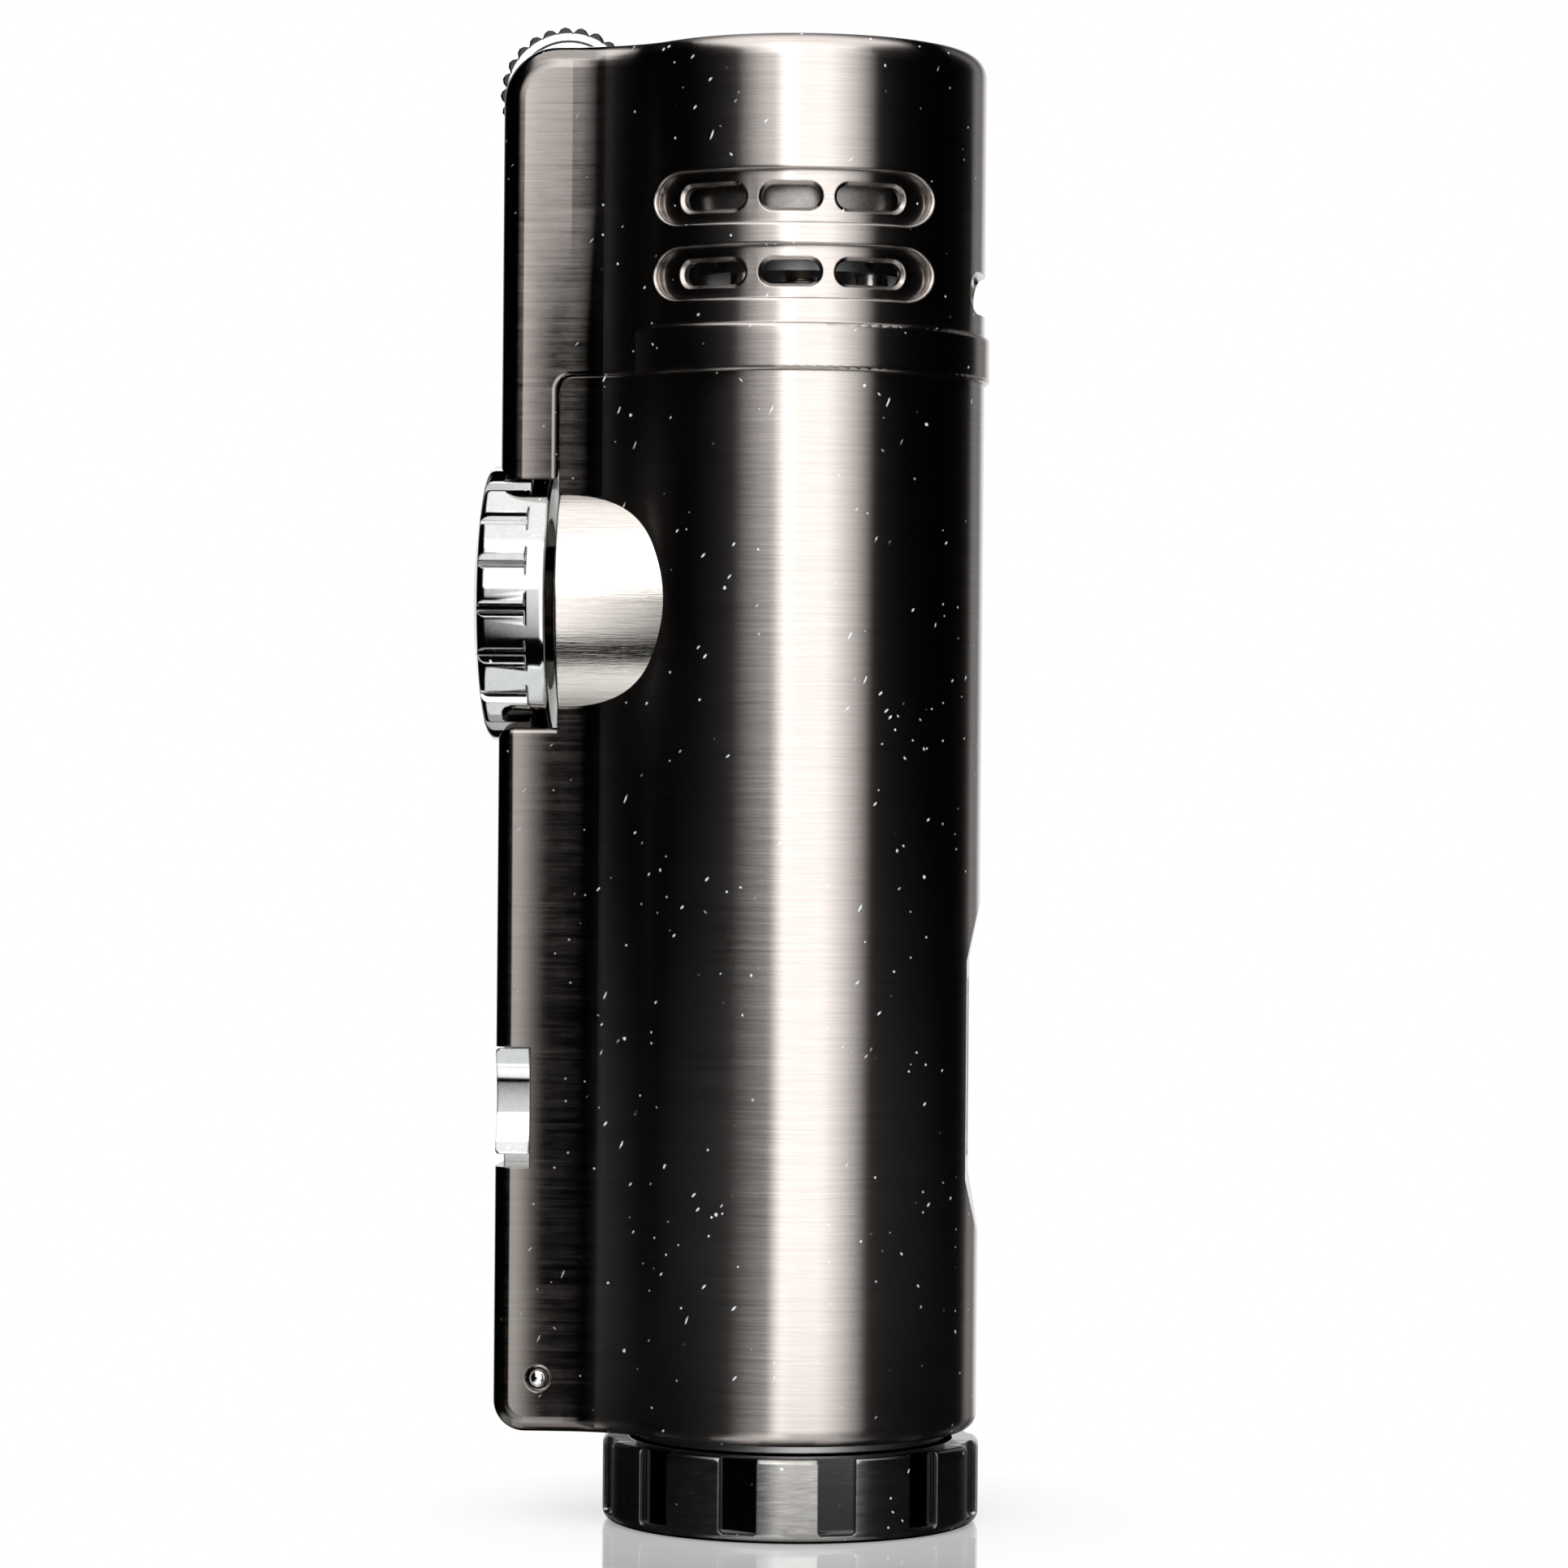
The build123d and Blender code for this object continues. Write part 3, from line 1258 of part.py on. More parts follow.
with BuildPart() as trigger_spring:
    coil_length = trigger_width - 2 * trigger_knuckle_width - 2 * hand_gap
    coil = spring(trigger_knuckle_radius - hand_gap, trigger_spring_wire, trigger_spring_pitch, coil_length)
    turned = coil.moved(Location((0, 0, -coil_length / 2))).rotate(Axis.X, 90)
    add(turned.moved(Location((-trigger_pin_reach, 0, trigger_pin_height))))
save(trigger_spring, "trigger_spring")
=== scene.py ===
import math

import bpy
from mathutils import Matrix, Vector


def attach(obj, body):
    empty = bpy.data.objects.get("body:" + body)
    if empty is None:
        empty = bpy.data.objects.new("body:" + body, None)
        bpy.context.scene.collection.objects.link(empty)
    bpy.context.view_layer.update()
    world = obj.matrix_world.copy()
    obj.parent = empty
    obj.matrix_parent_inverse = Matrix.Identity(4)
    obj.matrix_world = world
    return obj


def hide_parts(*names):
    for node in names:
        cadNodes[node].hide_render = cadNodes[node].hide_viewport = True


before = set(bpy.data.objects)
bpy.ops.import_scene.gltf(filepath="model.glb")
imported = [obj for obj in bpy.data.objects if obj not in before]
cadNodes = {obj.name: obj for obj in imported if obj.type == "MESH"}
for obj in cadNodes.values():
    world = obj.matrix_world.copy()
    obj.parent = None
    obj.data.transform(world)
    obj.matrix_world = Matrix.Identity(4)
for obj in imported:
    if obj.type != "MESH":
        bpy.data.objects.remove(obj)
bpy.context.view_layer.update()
mm = 0.001
touch = 0.01   # places less than this many millimetres apart count as one


class Signal:
    # a socket's value that can be used in sums; each operator adds one Math node
    def __init__(self, tree, socket):
        self.tree = tree
        self.socket = socket

    def math(self, operation, *values, clamp=False):
        node = self.tree.nodes.new("ShaderNodeMath")
        node.operation = operation
        node.use_clamp = clamp
        for slot, value in zip(node.inputs, values):
            if isinstance(value, Signal):
                self.tree.links.new(value.socket, slot)
            else:
                slot.default_value = value
        return Signal(self.tree, node.outputs[0])

    def other(self, name):
        # another output of the same node
        return Signal(self.tree, self.socket.node.outputs[name])

    def __add__(self, other):
        return self.math("ADD", self, other)

    def __radd__(self, other):
        return self.math("ADD", other, self)

    def __sub__(self, other):
        return self.math("SUBTRACT", self, other)

    def __rsub__(self, other):
        return self.math("SUBTRACT", other, self)

    def __mul__(self, other):
        return self.math("MULTIPLY", self, other)

    def __rmul__(self, other):
        return self.math("MULTIPLY", other, self)

    def __pow__(self, other):
        return self.math("POWER", self, other)

    def __rpow__(self, other):
        return self.math("POWER", other, self)

    def above(self, level, soft):
        # 0 below the level, 1 above it, turning over twice the soft width
        return self.math("MULTIPLY_ADD", self, 0.5 / soft, 0.5 - level * 0.5 / soft, clamp=True)

    def below(self, level, soft):
        return self.math("MULTIPLY_ADD", self, -0.5 / soft, 0.5 + level * 0.5 / soft, clamp=True)

    def atMost(self, other):
        return self.math("MINIMUM", self, other)

    def atLeast(self, other):
        return self.math("MAXIMUM", self, other)


class Nodes:
    # a node tree, with one method that adds any node
    def __init__(self, tree):
        self.tree = tree

    def add(self, kind, settings=None, sockets=None, out=0):
        node = self.tree.nodes.new(kind)
        for name, value in (settings or {}).items():
            setattr(node, name, value)
        for name, value in (sockets or {}).items():
            if isinstance(value, Signal):
                self.tree.links.new(value.socket, node.inputs[name])
            else:
                node.inputs[name].default_value = value
        return Signal(self.tree, node.outputs[out]) if node.outputs else None


class Finish(Nodes):
    # one material and its nodes
    def __init__(self, name):
        self.material = bpy.data.materials.new(name)
        self.material.use_nodes = True
        super().__init__(self.material.node_tree)
        self.tree.nodes.clear()

    def place(self):
        # the point on the piece in millimetres
        point = self.add("ShaderNodeTexCoord", out="Object")
        point = self.add("ShaderNodeVectorMath", {"operation": "SCALE"}, {0: point, "Scale": 1 / mm})
        x = self.add("ShaderNodeSeparateXYZ", None, {0: point})
        return x, x.other(1), x.other(2)

    def vector(self, x, y, z):
        return self.add("ShaderNodeCombineXYZ", None, {0: x, 1: y, 2: z})

    def noise(self, x, y, z, detail=3.0, rough=0.5, scale=1.0):
        sockets = {"Vector": self.vector(x, y, z), "Scale": scale, "Detail": detail, "Roughness": rough}
        return self.add("ShaderNodeTexNoise", None, sockets, "Fac")

    def blend(self, mask, low, high):
        # of a Mix node, sockets 6 and 7 and output 2 are the ones for colours
        return self.add("ShaderNodeMix", {"data_type": "RGBA"}, {0: mask, 6: low, 7: high}, 2)

    def bump(self, height, strength, distance, normal=None):
        sockets = {"Height": height, "Strength": strength, "Distance": distance * mm}
        if normal is not None:
            sockets["Normal"] = normal
        return self.add("ShaderNodeBump", None, sockets)

    def softEdges(self, radius):
        # rounds the light on a hard edge
        return self.add("ShaderNodeBevel", {"samples": 4}, {"Radius": radius * mm})

    def clearFromBelow(self, surface):
        # nothing hides the underside of the part
        below = self.add("ShaderNodeNewGeometry", out="Backfacing")
        clear = self.add("ShaderNodeBsdfTransparent")
        return self.add("ShaderNodeMixShader", None, {0: below, 1: surface, 2: clear})

    def close(self, sockets):
        surface = self.add("ShaderNodeBsdfPrincipled", None, sockets)
        self.add("ShaderNodeOutputMaterial", None, {"Surface": surface})
        return self.material


def rgb(red, green, blue):
    return (red, green, blue, 1.0)


dustLook = {
    "colour": rgb(0.80, 0.84, 0.88), "covers": 0.95, "roughens": 0.4,
    "ragged": 0.10, "raggedNoise": (2.0, 0.6, 7.0), "edge": 0.012, "rare": 0.004,
    # crowds of marks: level and softness of their noise, marks in a crowd, marks everywhere
    "crowd": (0.52, 0.22, 0.9, 0.25), "crowdNoise": (2.0, 0.5, 0.11),
}


def flecks(finish, place, share):
    # dust specks and hair scratches: a few cells of each pattern hold a small pale mark
    x, y, z = place
    level, soft, inCrowd, everywhere = dustLook["crowd"]
    crowd = finish.noise(x, y, z, *dustLook["crowdNoise"]).above(level, soft) * inCrowd + everywhere
    layers = (
        # the three axes of the cells, which stretch and lean the marks; mark size; share of cells
        (x * 1.10, y * 1.10, z * 1.10, 0.075, 0.13),
        (x * 0.50, y * 0.50, z * 0.50, 0.050, 0.14),
        ((x - z) * 0.95, y * 0.80, (x + z) * 0.30, 0.075, 0.16),
        ((x * 1.9 - z * 0.8) * 0.55, y * 0.50, (x * 0.8 + z * 1.9) * 0.11, 0.060, 0.16),
        ((x + z) * 0.95, y * 0.95, (x - z) * 0.36, 0.065, 0.05),
    )
    mask = None
    for along, across, up, size, count in layers:
        point = finish.vector(along, across, up)
        near = finish.add("ShaderNodeTexVoronoi", None, {"Vector": point, "Scale": 1.0}, "Distance")
        chance = finish.add("ShaderNodeSeparateColor", None, {0: near.other("Color")})
        ragged = finish.noise(x, y, z, *dustLook["raggedNoise"]) - 0.5
        shape = (near + ragged * dustLook["ragged"]).below(size, dustLook["edge"])
        mark = shape * (chance - crowd * (share * count)).below(0.0, dustLook["rare"])
        mask = mark if mask is None else mask.atLeast(mark)
    return mask


def paintedShadeOnTeeth(finish, place, look, colour, rough):
    # the toothed rim is left dark: painted shade on the teeth, which are coloured near black and made
    # rougher
    x, y, z = place
    centreX, centreZ = look["centre"]
    outward = ((x - centreX) ** 2.0 + (z - centreZ) ** 2.0) ** 0.5
    teeth = outward.above(look["reach"], look["soft"])
    return finish.blend(teeth, colour, look["colour"]), rough + teeth * look["roughens"]


def paintedShadeInHollows(finish, place, look, colour, rough):
    # the brushed lobes stand out from polished hollows, whose near-black colour is painted shade
    x, y, z = place
    lobe = ((x * x + y * y) ** 0.5).above(look["reach"], look["soft"])
    rough = rough * lobe + (1.0 - lobe) * look["roughness"]
    return finish.blend(lobe, look["colour"], colour), rough


def spineFlats(finish, place, look, colour, rough, coarse):
    # the side faces of the spine are smoother and ground a little hollow, and their colour is darkened as
    # painted shade
    x, y, z = place
    spine = x.below(look["edge"], look["soft"])
    wide, deep, tall = look["blotch"]
    blotch = finish.noise(x * wide, y * deep, z * tall, *look["blotchNoise"])
    uneven = (coarse - 0.5) * look["grainRough"] + (blotch - 0.5) * look["blotchRough"]
    rough = rough * (1.0 - spine) + spine * (uneven + look["roughness"])
    # painted shade: the spine's side faces are blended towards a much darker colour
    colour = finish.blend(spine * look["paintedShadeShare"], colour, look["paintedShade"])
    fall = (x - look["fallFrom"]).atMost(0.0)
    lean = (x - look["leanFrom"]).atLeast(0.0).atMost(look["leanWide"])
    lower = z.below(look["leanTop"], look["leanSoft"]) * (1 - look["leanAbove"]) + look["leanAbove"]
    return colour, rough, fall * fall * look["fall"] + lean * lean * lower * look["lean"]


grainLook = {
    # detail and roughness of the coarse and the fine noise, and the share that each has
    "coarse": (4.0, 0.65), "fine": (3.0, 0.6), "finer": 3.3, "coarseShare": 0.55, "fineShare": 0.45,
    "streakSoft": 0.22, "cloudNoise": (2.0, 0.5), "cloudSoft": 0.4, "cloudShare": 0.5,
    "depth": 0.02, "brushedTurn": 0.25,
}


def metalFinish(name, look):
    finish = Finish(name)
    x, y, z = place = finish.place()
    alongX, alongY, alongZ = look["grain"]
    finer = grainLook["finer"]
    coarse = finish.noise(x * alongX, y * alongY, z * alongZ, *grainLook["coarse"])
    fine = finish.noise(
        x * (alongX * finer), y * (alongY * finer), z * (alongZ * finer), *grainLook["fine"])
    cloud = finish.noise(x, y, z, *grainLook["cloudNoise"], look["cloud"])
    streak = coarse * grainLook["coarseShare"] + fine * grainLook["fineShare"]
    colour = finish.blend(streak.above(0.5, grainLook["streakSoft"]), look["darker"], look["lighter"])
    clouded = cloud.above(0.5, grainLook["cloudSoft"]) * grainLook["cloudShare"]
    colour = finish.blend(clouded, colour, look["colour"])
    rough = (streak - 0.5) * look["roughSpread"] + look["roughness"]
    metallic = 1.0
    if look["dust"]:
        dust = flecks(finish, place, look["dust"])
        colour = finish.blend(dust, colour, dustLook["colour"])
        rough = rough + dust * dustLook["roughens"]
        metallic = 1.0 - dust * dustLook["covers"]
    if "rim" in look:
        colour, rough = paintedShadeOnTeeth(finish, place, look["rim"], colour, rough)
    if "hollows" in look:
        colour, rough = paintedShadeInHollows(finish, place, look["hollows"], colour, rough)
    normal = finish.softEdges(look["edge"])
    if "spine" in look:
        colour, rough, hollow = spineFlats(finish, place, look["spine"], colour, rough, coarse)
        normal = finish.bump(hollow, 1.0, 1.0, normal)
    if "lean" in look:
        # the light runs off slowly along X
        start, amount = look["lean"]
        normal = finish.bump((x - start) * (x - start) * amount, 1.0, 1.0, normal)
    normal = finish.bump(streak, look["bump"], grainLook["depth"], normal)
    return finish.close({
        "Base Color": colour, "Metallic": metallic, "Roughness": rough, "Normal": normal,
        "Anisotropic": look["brushed"], "Anisotropic Rotation": grainLook["brushedTurn"],
    })


skinLook = {
    "flowNoise": (3.0, 0.5, 0.25), "flowStretch": 0.3, "flowSoft": 0.3,
    "grainNoise": (3.0, 0.6), "roughSpread": 0.15, "depth": 0.02,
}


def plasticFinish(name, look):
    finish = Finish(name)
    x, y, z = finish.place()
    flow = finish.noise(x, y, z * skinLook["flowStretch"], *skinLook["flowNoise"])
    skin = finish.noise(x, y, z, *skinLook["grainNoise"], look["grainScale"])
    colour = finish.blend(flow.above(0.5, skinLook["flowSoft"]), look["darker"], look["colour"])
    rough = (skin - 0.5) * skinLook["roughSpread"] + look["roughness"]
    sockets = {
        "Base Color": colour, "Roughness": rough, "IOR": look["ior"],
        "Normal": finish.bump(skin, look["bump"], skinLook["depth"]),
    }
    if look["clear"]:
        sockets["Transmission Weight"] = look["clear"]
    return finish.close(sockets)


metals = {
    "brushedGunmetal": {
        "colour": rgb(0.405, 0.372, 0.352), "lighter": rgb(0.485, 0.450, 0.428),
        "darker": rgb(0.320, 0.288, 0.268),
        "grain": (0.10, 0.10, 5.0), "cloud": 0.12, "roughness": 0.24, "roughSpread": 0.12,
        "bump": 0.12, "brushed": 0.96, "edge": 0.12, "dust": 3.4,
        "spine": {
            "edge": -11.8, "soft": 0.5, "roughness": 0.12, "grainRough": 0.16,
            "blotch": (0.8, 0.8, 2.2), "blotchNoise": (3.0, 0.7), "blotchRough": 0.10,
            # the dark colour below is painted shade on the spine's side faces
            "paintedShade": rgb(0.105, 0.094, 0.086), "paintedShadeShare": 0.75, "fallFrom": -15.6, "fall": 0.006,
            "leanFrom": -16.5, "leanWide": 4.9, "lean": 0.014,
            "leanTop": 76.0, "leanSoft": 4.0, "leanAbove": 0.4,   # it leans less above this height
        },
        "nodes": ("sleeve", "hood", "trigger"),
    },
    "satinGunmetal": {
        "colour": rgb(0.470, 0.440, 0.415), "lighter": rgb(0.560, 0.528, 0.500),
        "darker": rgb(0.330, 0.305, 0.282),
        "grain": (0.16, 6.0, 6.0), "cloud": 0.2, "roughness": 0.16, "roughSpread": 0.50,
        "bump": 0.75, "brushed": 0.0, "edge": 0.12, "dust": 0.25, "lean": (-11.0, 0.006),
        "nodes": ("punch_socket",),
    },
    "polishedNickel": {
        "colour": rgb(0.400, 0.405, 0.398), "lighter": rgb(0.440, 0.446, 0.438),
        "darker": rgb(0.350, 0.353, 0.348),
        "grain": (1.2, 1.2, 1.2), "cloud": 0.3, "roughness": 0.07, "roughSpread": 0.06,
        "bump": 0.04, "brushed": 0.0, "edge": 0.14, "dust": 2.0,
        "nodes": ("side_knob", "knob_cap", "pick"),
    },
    "wheelChrome": {
        "colour": rgb(0.880, 0.880, 0.875), "lighter": rgb(0.930, 0.930, 0.925),
        "darker": rgb(0.780, 0.780, 0.775),
        "grain": (1.0, 0.3, 1.0), "cloud": 0.4, "roughness": 0.26, "roughSpread": 0.10,
        "bump": 0.05, "brushed": 0.0, "edge": 0.08, "dust": 0.0,
        # the rim's near-black colour is painted shade on the teeth
        "rim": {
            "centre": (-14.1, 87.2), "reach": 3.78, "soft": 0.06,
            "colour": rgb(0.045, 0.043, 0.042), "roughens": 0.2,
        },
        "nodes": ("thumb_wheels",),
    },
    "brightChrome": {
        "colour": rgb(0.880, 0.880, 0.875), "lighter": rgb(0.930, 0.930, 0.925),
        "darker": rgb(0.780, 0.780, 0.775),
        "grain": (1.0, 0.3, 1.0), "cloud": 0.4, "roughness": 0.12, "roughSpread": 0.10,
        "bump": 0.05, "brushed": 0.0, "edge": 0.08, "dust": 0.0,
        "nodes": ("pick_pin",),
    },
    "darkSteel": {
        "colour": rgb(0.200, 0.190, 0.182), "lighter": rgb(0.290, 0.280, 0.270),
        "darker": rgb(0.120, 0.112, 0.108),
        "grain": (1.8, 0.5, 1.8), "cloud": 0.5, "roughness": 0.38, "roughSpread": 0.25,
        "bump": 0.25, "brushed": 0.0, "edge": 0.06, "dust": 0.0,
        "nodes": ("flint_wheel", "flint"),
    },
    "satinSteel": {
        "colour": rgb(0.600, 0.585, 0.560), "lighter": rgb(0.680, 0.665, 0.640),
        "darker": rgb(0.500, 0.485, 0.465),
        "grain": (1.5, 1.5, 4.0), "cloud": 0.3, "roughness": 0.28, "roughSpread": 0.16,
        "bump": 0.12, "brushed": 0.0, "edge": 0.08, "dust": 0.0,
        "nodes": (
            "base_screws", "burner_posts", "post_screws", "rocker_pin", "wheel_bracket",
            "bracket_screws", "wheel_axle", "flint_spring", "trigger_pin", "pick_spring",
            "valve_spring", "trigger_spring", "valve_rocker", "knob_clip", "punch_blade",
        ),
    },
    "brushedNickel": {
        "colour": rgb(0.270, 0.264, 0.255), "lighter": rgb(0.380, 0.370, 0.356),
        "darker": rgb(0.150, 0.145, 0.138),
        "grain": (0.35, 0.35, 2.6), "cloud": 0.4, "roughness": 0.25, "roughSpread": 0.14,
        "bump": 0.35, "brushed": 0.75, "edge": 0.10, "dust": 3.0,
        # the hollows' near-black colour is painted shade in the flutes
        "hollows": {"reach": 11.30, "soft": 0.04, "roughness": 0.12, "colour": rgb(0.045, 0.044, 0.043)},
        "nodes": ("base_knob",),
    },
    "heatedSteel": {
        "colour": rgb(0.210, 0.198, 0.190), "lighter": rgb(0.300, 0.280, 0.262),
        "darker": rgb(0.120, 0.112, 0.115),
        "grain": (1.5, 1.5, 2.5), "cloud": 0.45, "roughness": 0.34, "roughSpread": 0.20,
        "bump": 0.12, "brushed": 0.0, "edge": 0.08, "dust": 0.0,
        "nodes": ("flame_guard",),
    },
    "dieCastZinc": {
        "colour": rgb(0.450, 0.452, 0.460), "lighter": rgb(0.530, 0.532, 0.540),
        "darker": rgb(0.350, 0.352, 0.360),
        "grain": (2.5, 2.5, 2.5), "cloud": 0.25, "roughness": 0.42, "roughSpread": 0.22,
        "bump": 0.35, "brushed": 0.0, "edge": 0.10, "dust": 0.0,
        "nodes": ("joint_ring", "base_plate", "chassis_plate", "rocker_stand", "burner_body"),
    },
    "turnedBrass": {
        "colour": rgb(0.700, 0.520, 0.230), "lighter": rgb(0.780, 0.600, 0.300),
        "darker": rgb(0.560, 0.400, 0.160),
        "grain": (0.6, 0.6, 7.0), "cloud": 0.4, "roughness": 0.24, "roughSpread": 0.18,
        "bump": 0.15, "brushed": 0.0, "edge": 0.08, "dust": 0.0,
        "nodes": (
            "filler_valve", "gas_tube", "valve_block", "valve_body", "jet_nozzles",
            "flint_tube", "flint_screw", "valve_stem", "filler_stem", "adjuster_sleeve",
        ),
    },
    "darkenedBrass": {
        "colour": rgb(0.110, 0.090, 0.060), "lighter": rgb(0.200, 0.160, 0.095),
        "darker": rgb(0.050, 0.042, 0.032),
        "grain": (7.0, 0.6, 0.6), "cloud": 0.4, "roughness": 0.42, "roughSpread": 0.18,
        "bump": 0.15, "brushed": 0.0, "edge": 0.08, "dust": 0.0,
        "nodes": ("lock_sleeve", "punch_collar"),
    },
}
plastics = {
    "smokyTank": {
        "colour": rgb(0.150, 0.138, 0.128), "darker": rgb(0.095, 0.086, 0.080),
        "grainScale": 3.0, "roughness": 0.22, "ior": 1.50, "bump": 0.05, "clear": 0.35,
        "nodes": ("fuel_tank", "tank_lid"),
    },
    "smokyLens": {
        "colour": rgb(0.420, 0.395, 0.370), "darker": rgb(0.340, 0.318, 0.296),
        "grainScale": 1.5, "roughness": 0.06, "ior": 1.49, "bump": 0.02, "clear": 0.90,
        "nodes": ("fuel_window",),
    },
    "sealRubber": {
        "colour": rgb(0.030, 0.030, 0.031), "darker": rgb(0.018, 0.018, 0.019),
        "grainScale": 6.0, "roughness": 0.62, "ior": 1.52, "bump": 0.25, "clear": 0.0,
        "nodes": ("filler_seal",),
    },
    "flowFelt": {
        "colour": rgb(0.540, 0.500, 0.430), "darker": rgb(0.400, 0.365, 0.305),
        "grainScale": 14.0, "roughness": 0.92, "ior": 1.45, "bump": 0.90, "clear": 0.0,
        "nodes": ("flow_pad",),
    },
}


def dress(material, names):
    for name in names:
        slots = cadNodes[name].data.materials
        slots.clear()
        slots.append(material)


finishes = {}
for name, look in metals.items():
    finishes[name] = metalFinish(name, look)
    dress(finishes[name], look["nodes"])
for name, look in plastics.items():
    finishes[name] = plasticFinish(name, look)
    dress(finishes[name], look["nodes"])
print("finishes on the CAD nodes:", len(finishes))


def selectOnly(*pieces):
    # the first one is also the active one
    bpy.ops.object.select_all(action="DESELECT")
    for piece in pieces:
        piece.select_set(True)
    bpy.context.view_layer.objects.active = pieces[0]


weld = 0.001   # ring points less than this many millimetres apart become one


def turnedBlank(name, sides, rings, phase=0.0):
    # a turned blank on the Z axis from its rings of (height, radius) in mm
    bpy.ops.object.select_all(action="DESELECT")
    height, radius = rings[0]
    bpy.ops.mesh.primitive_circle_add(
        vertices=sides, radius=radius * mm, location=(0, 0, height * mm),
        rotation=(0, 0, math.radians(phase)))
    blank = bpy.context.object
    blank.name = name
    bpy.ops.object.transform_apply(location=True, rotation=True, scale=True)
    bpy.ops.object.mode_set(mode="EDIT")
    bpy.ops.mesh.select_all(action="SELECT")
    for nextHeight, nextRadius in rings[1:]:
        rise = (nextHeight - height) * mm
        bpy.ops.mesh.extrude_region_move(TRANSFORM_OT_translate={"value": (0, 0, rise)})
        share = nextRadius / radius
        bpy.ops.transform.resize(value=(share, share, 1), center_override=(0, 0, 0))
        height, radius = nextHeight, nextRadius
    bpy.ops.mesh.select_all(action="SELECT")
    bpy.ops.mesh.remove_doubles(threshold=weld * mm)
    bpy.ops.mesh.select_all(action="SELECT")
    bpy.ops.mesh.fill_holes(sides=0)
    bpy.ops.mesh.select_all(action="SELECT")
    bpy.ops.mesh.normals_make_consistent(inside=False)
    bpy.ops.object.mode_set(mode="OBJECT")
    return blank


def rounding(radius, size, centre, steps, up):
    # rings of a rounded corner of a turned blank, whose centre is at this height
    rings = []
    for step in range(steps + 1):
        angle = math.radians(90.0 * step / steps)
        rise = math.sin(angle) if up else -math.cos(angle)
        reach = math.cos(angle) if up else math.sin(angle)
        rings.append((centre + rise * size, radius - size + reach * size))
    return rings


def selectVertices(piece, test):
    # in edit mode, with only the vertices selected whose place in mm passes the test
    selectOnly(piece)
    bpy.ops.object.mode_set(mode="EDIT")
    bpy.ops.mesh.select_mode(type="VERT")
    bpy.ops.mesh.select_all(action="DESELECT")
    bpy.ops.object.mode_set(mode="OBJECT")
    for vertex in piece.data.vertices:
        vertex.select = test(vertex.co / mm)
    bpy.ops.object.mode_set(mode="EDIT")


def cutGrooves(piece, groove):
    # one cutter is rounded, copied round the Z axis and taken out of the piece
    bpy.ops.object.select_all(action="DESELECT")
    low, high = groove["from"], groove["to"]
    middle = Vector([(a + b) / 2 * mm for a, b in zip(low, high)])
    sides = [(b - a) * mm for a, b in zip(low, high)]
    bpy.ops.mesh.primitive_cube_add(size=1, location=middle, scale=sides)
    cutter = bpy.context.object
    bpy.ops.object.transform_apply(location=True, rotation=True, scale=True)
    selectVertices(cutter, lambda place: place.z < low[2] + touch)
    bpy.ops.mesh.select_mode(type="EDGE")
    bpy.ops.object.mode_set(mode="OBJECT")
    for edge in cutter.data.edges:
        ends = [cutter.data.vertices[index].co / mm for index in edge.vertices]
        edge.select = all(end.z < low[2] + touch for end in ends) and abs(ends[0].y - ends[1].y) < touch
    bpy.ops.object.mode_set(mode="EDIT")
    bpy.ops.mesh.bevel(offset=groove["round"] * mm, segments=groove["roundSteps"], affect="EDGES")
    bpy.ops.object.mode_set(mode="OBJECT")
    # the floor of the groove is this share of its width
    selectVertices(cutter, lambda place: place.x < low[0] + touch)
    bpy.ops.transform.resize(value=(1, groove["floor"], 1), center_override=(0, 0, 0))
    bpy.ops.object.mode_set(mode="OBJECT")
    cutters = []
    for number in range(groove["count"]):
        selectOnly(cutter)
        bpy.ops.object.duplicate()
        copy = bpy.context.object
        copy.rotation_euler = (0, 0, math.radians(groove["turn"] + 360.0 * number / groove["count"]))
        cutters.append(copy)
    selectOnly(*cutters)
    bpy.ops.object.join()
    joined = bpy.context.object
    bpy.ops.object.transform_apply(location=True, rotation=True, scale=True)
    selectOnly(piece)
    cut = piece.modifiers.new("grooves", "BOOLEAN")
    cut.operation = "DIFFERENCE"
    cut.object = joined
    bpy.ops.object.modifier_apply(modifier=cut.name)
    selectOnly(joined, cutter)
    bpy.ops.object.delete()


edging = {"segments": 2, "bevelAbove": 32, "smoothBelow": 34}


def finishPiece(piece, bevel, material, body, stands, turnTo=(0, 0, 0), at=(0, 0, 0)):
    selectOnly(piece)
    if bevel:
        edges = piece.modifiers.new("edges", "BEVEL")
        edges.width = bevel * mm
        edges.segments = edging["segments"]
        edges.limit_method = "ANGLE"
        edges.angle_limit = math.radians(edging["bevelAbove"])
        bpy.ops.object.modifier_apply(modifier=edges.name)
    piece.rotation_euler = [math.radians(angle) for angle in turnTo]
    piece.location = Vector(at) * mm
    bpy.ops.object.transform_apply(location=True, rotation=True, scale=True)
    bpy.ops.object.shade_smooth_by_angle(angle=math.radians(edging["smoothBelow"]))
    even = piece.modifiers.new("evenLight", "WEIGHTED_NORMAL")
    even.keep_sharp = True
    bpy.ops.object.modifier_apply(modifier=even.name)
    piece.data.materials.clear()
    piece.data.materials.append(finishes[material])
    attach(piece, body)
    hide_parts(*stands)


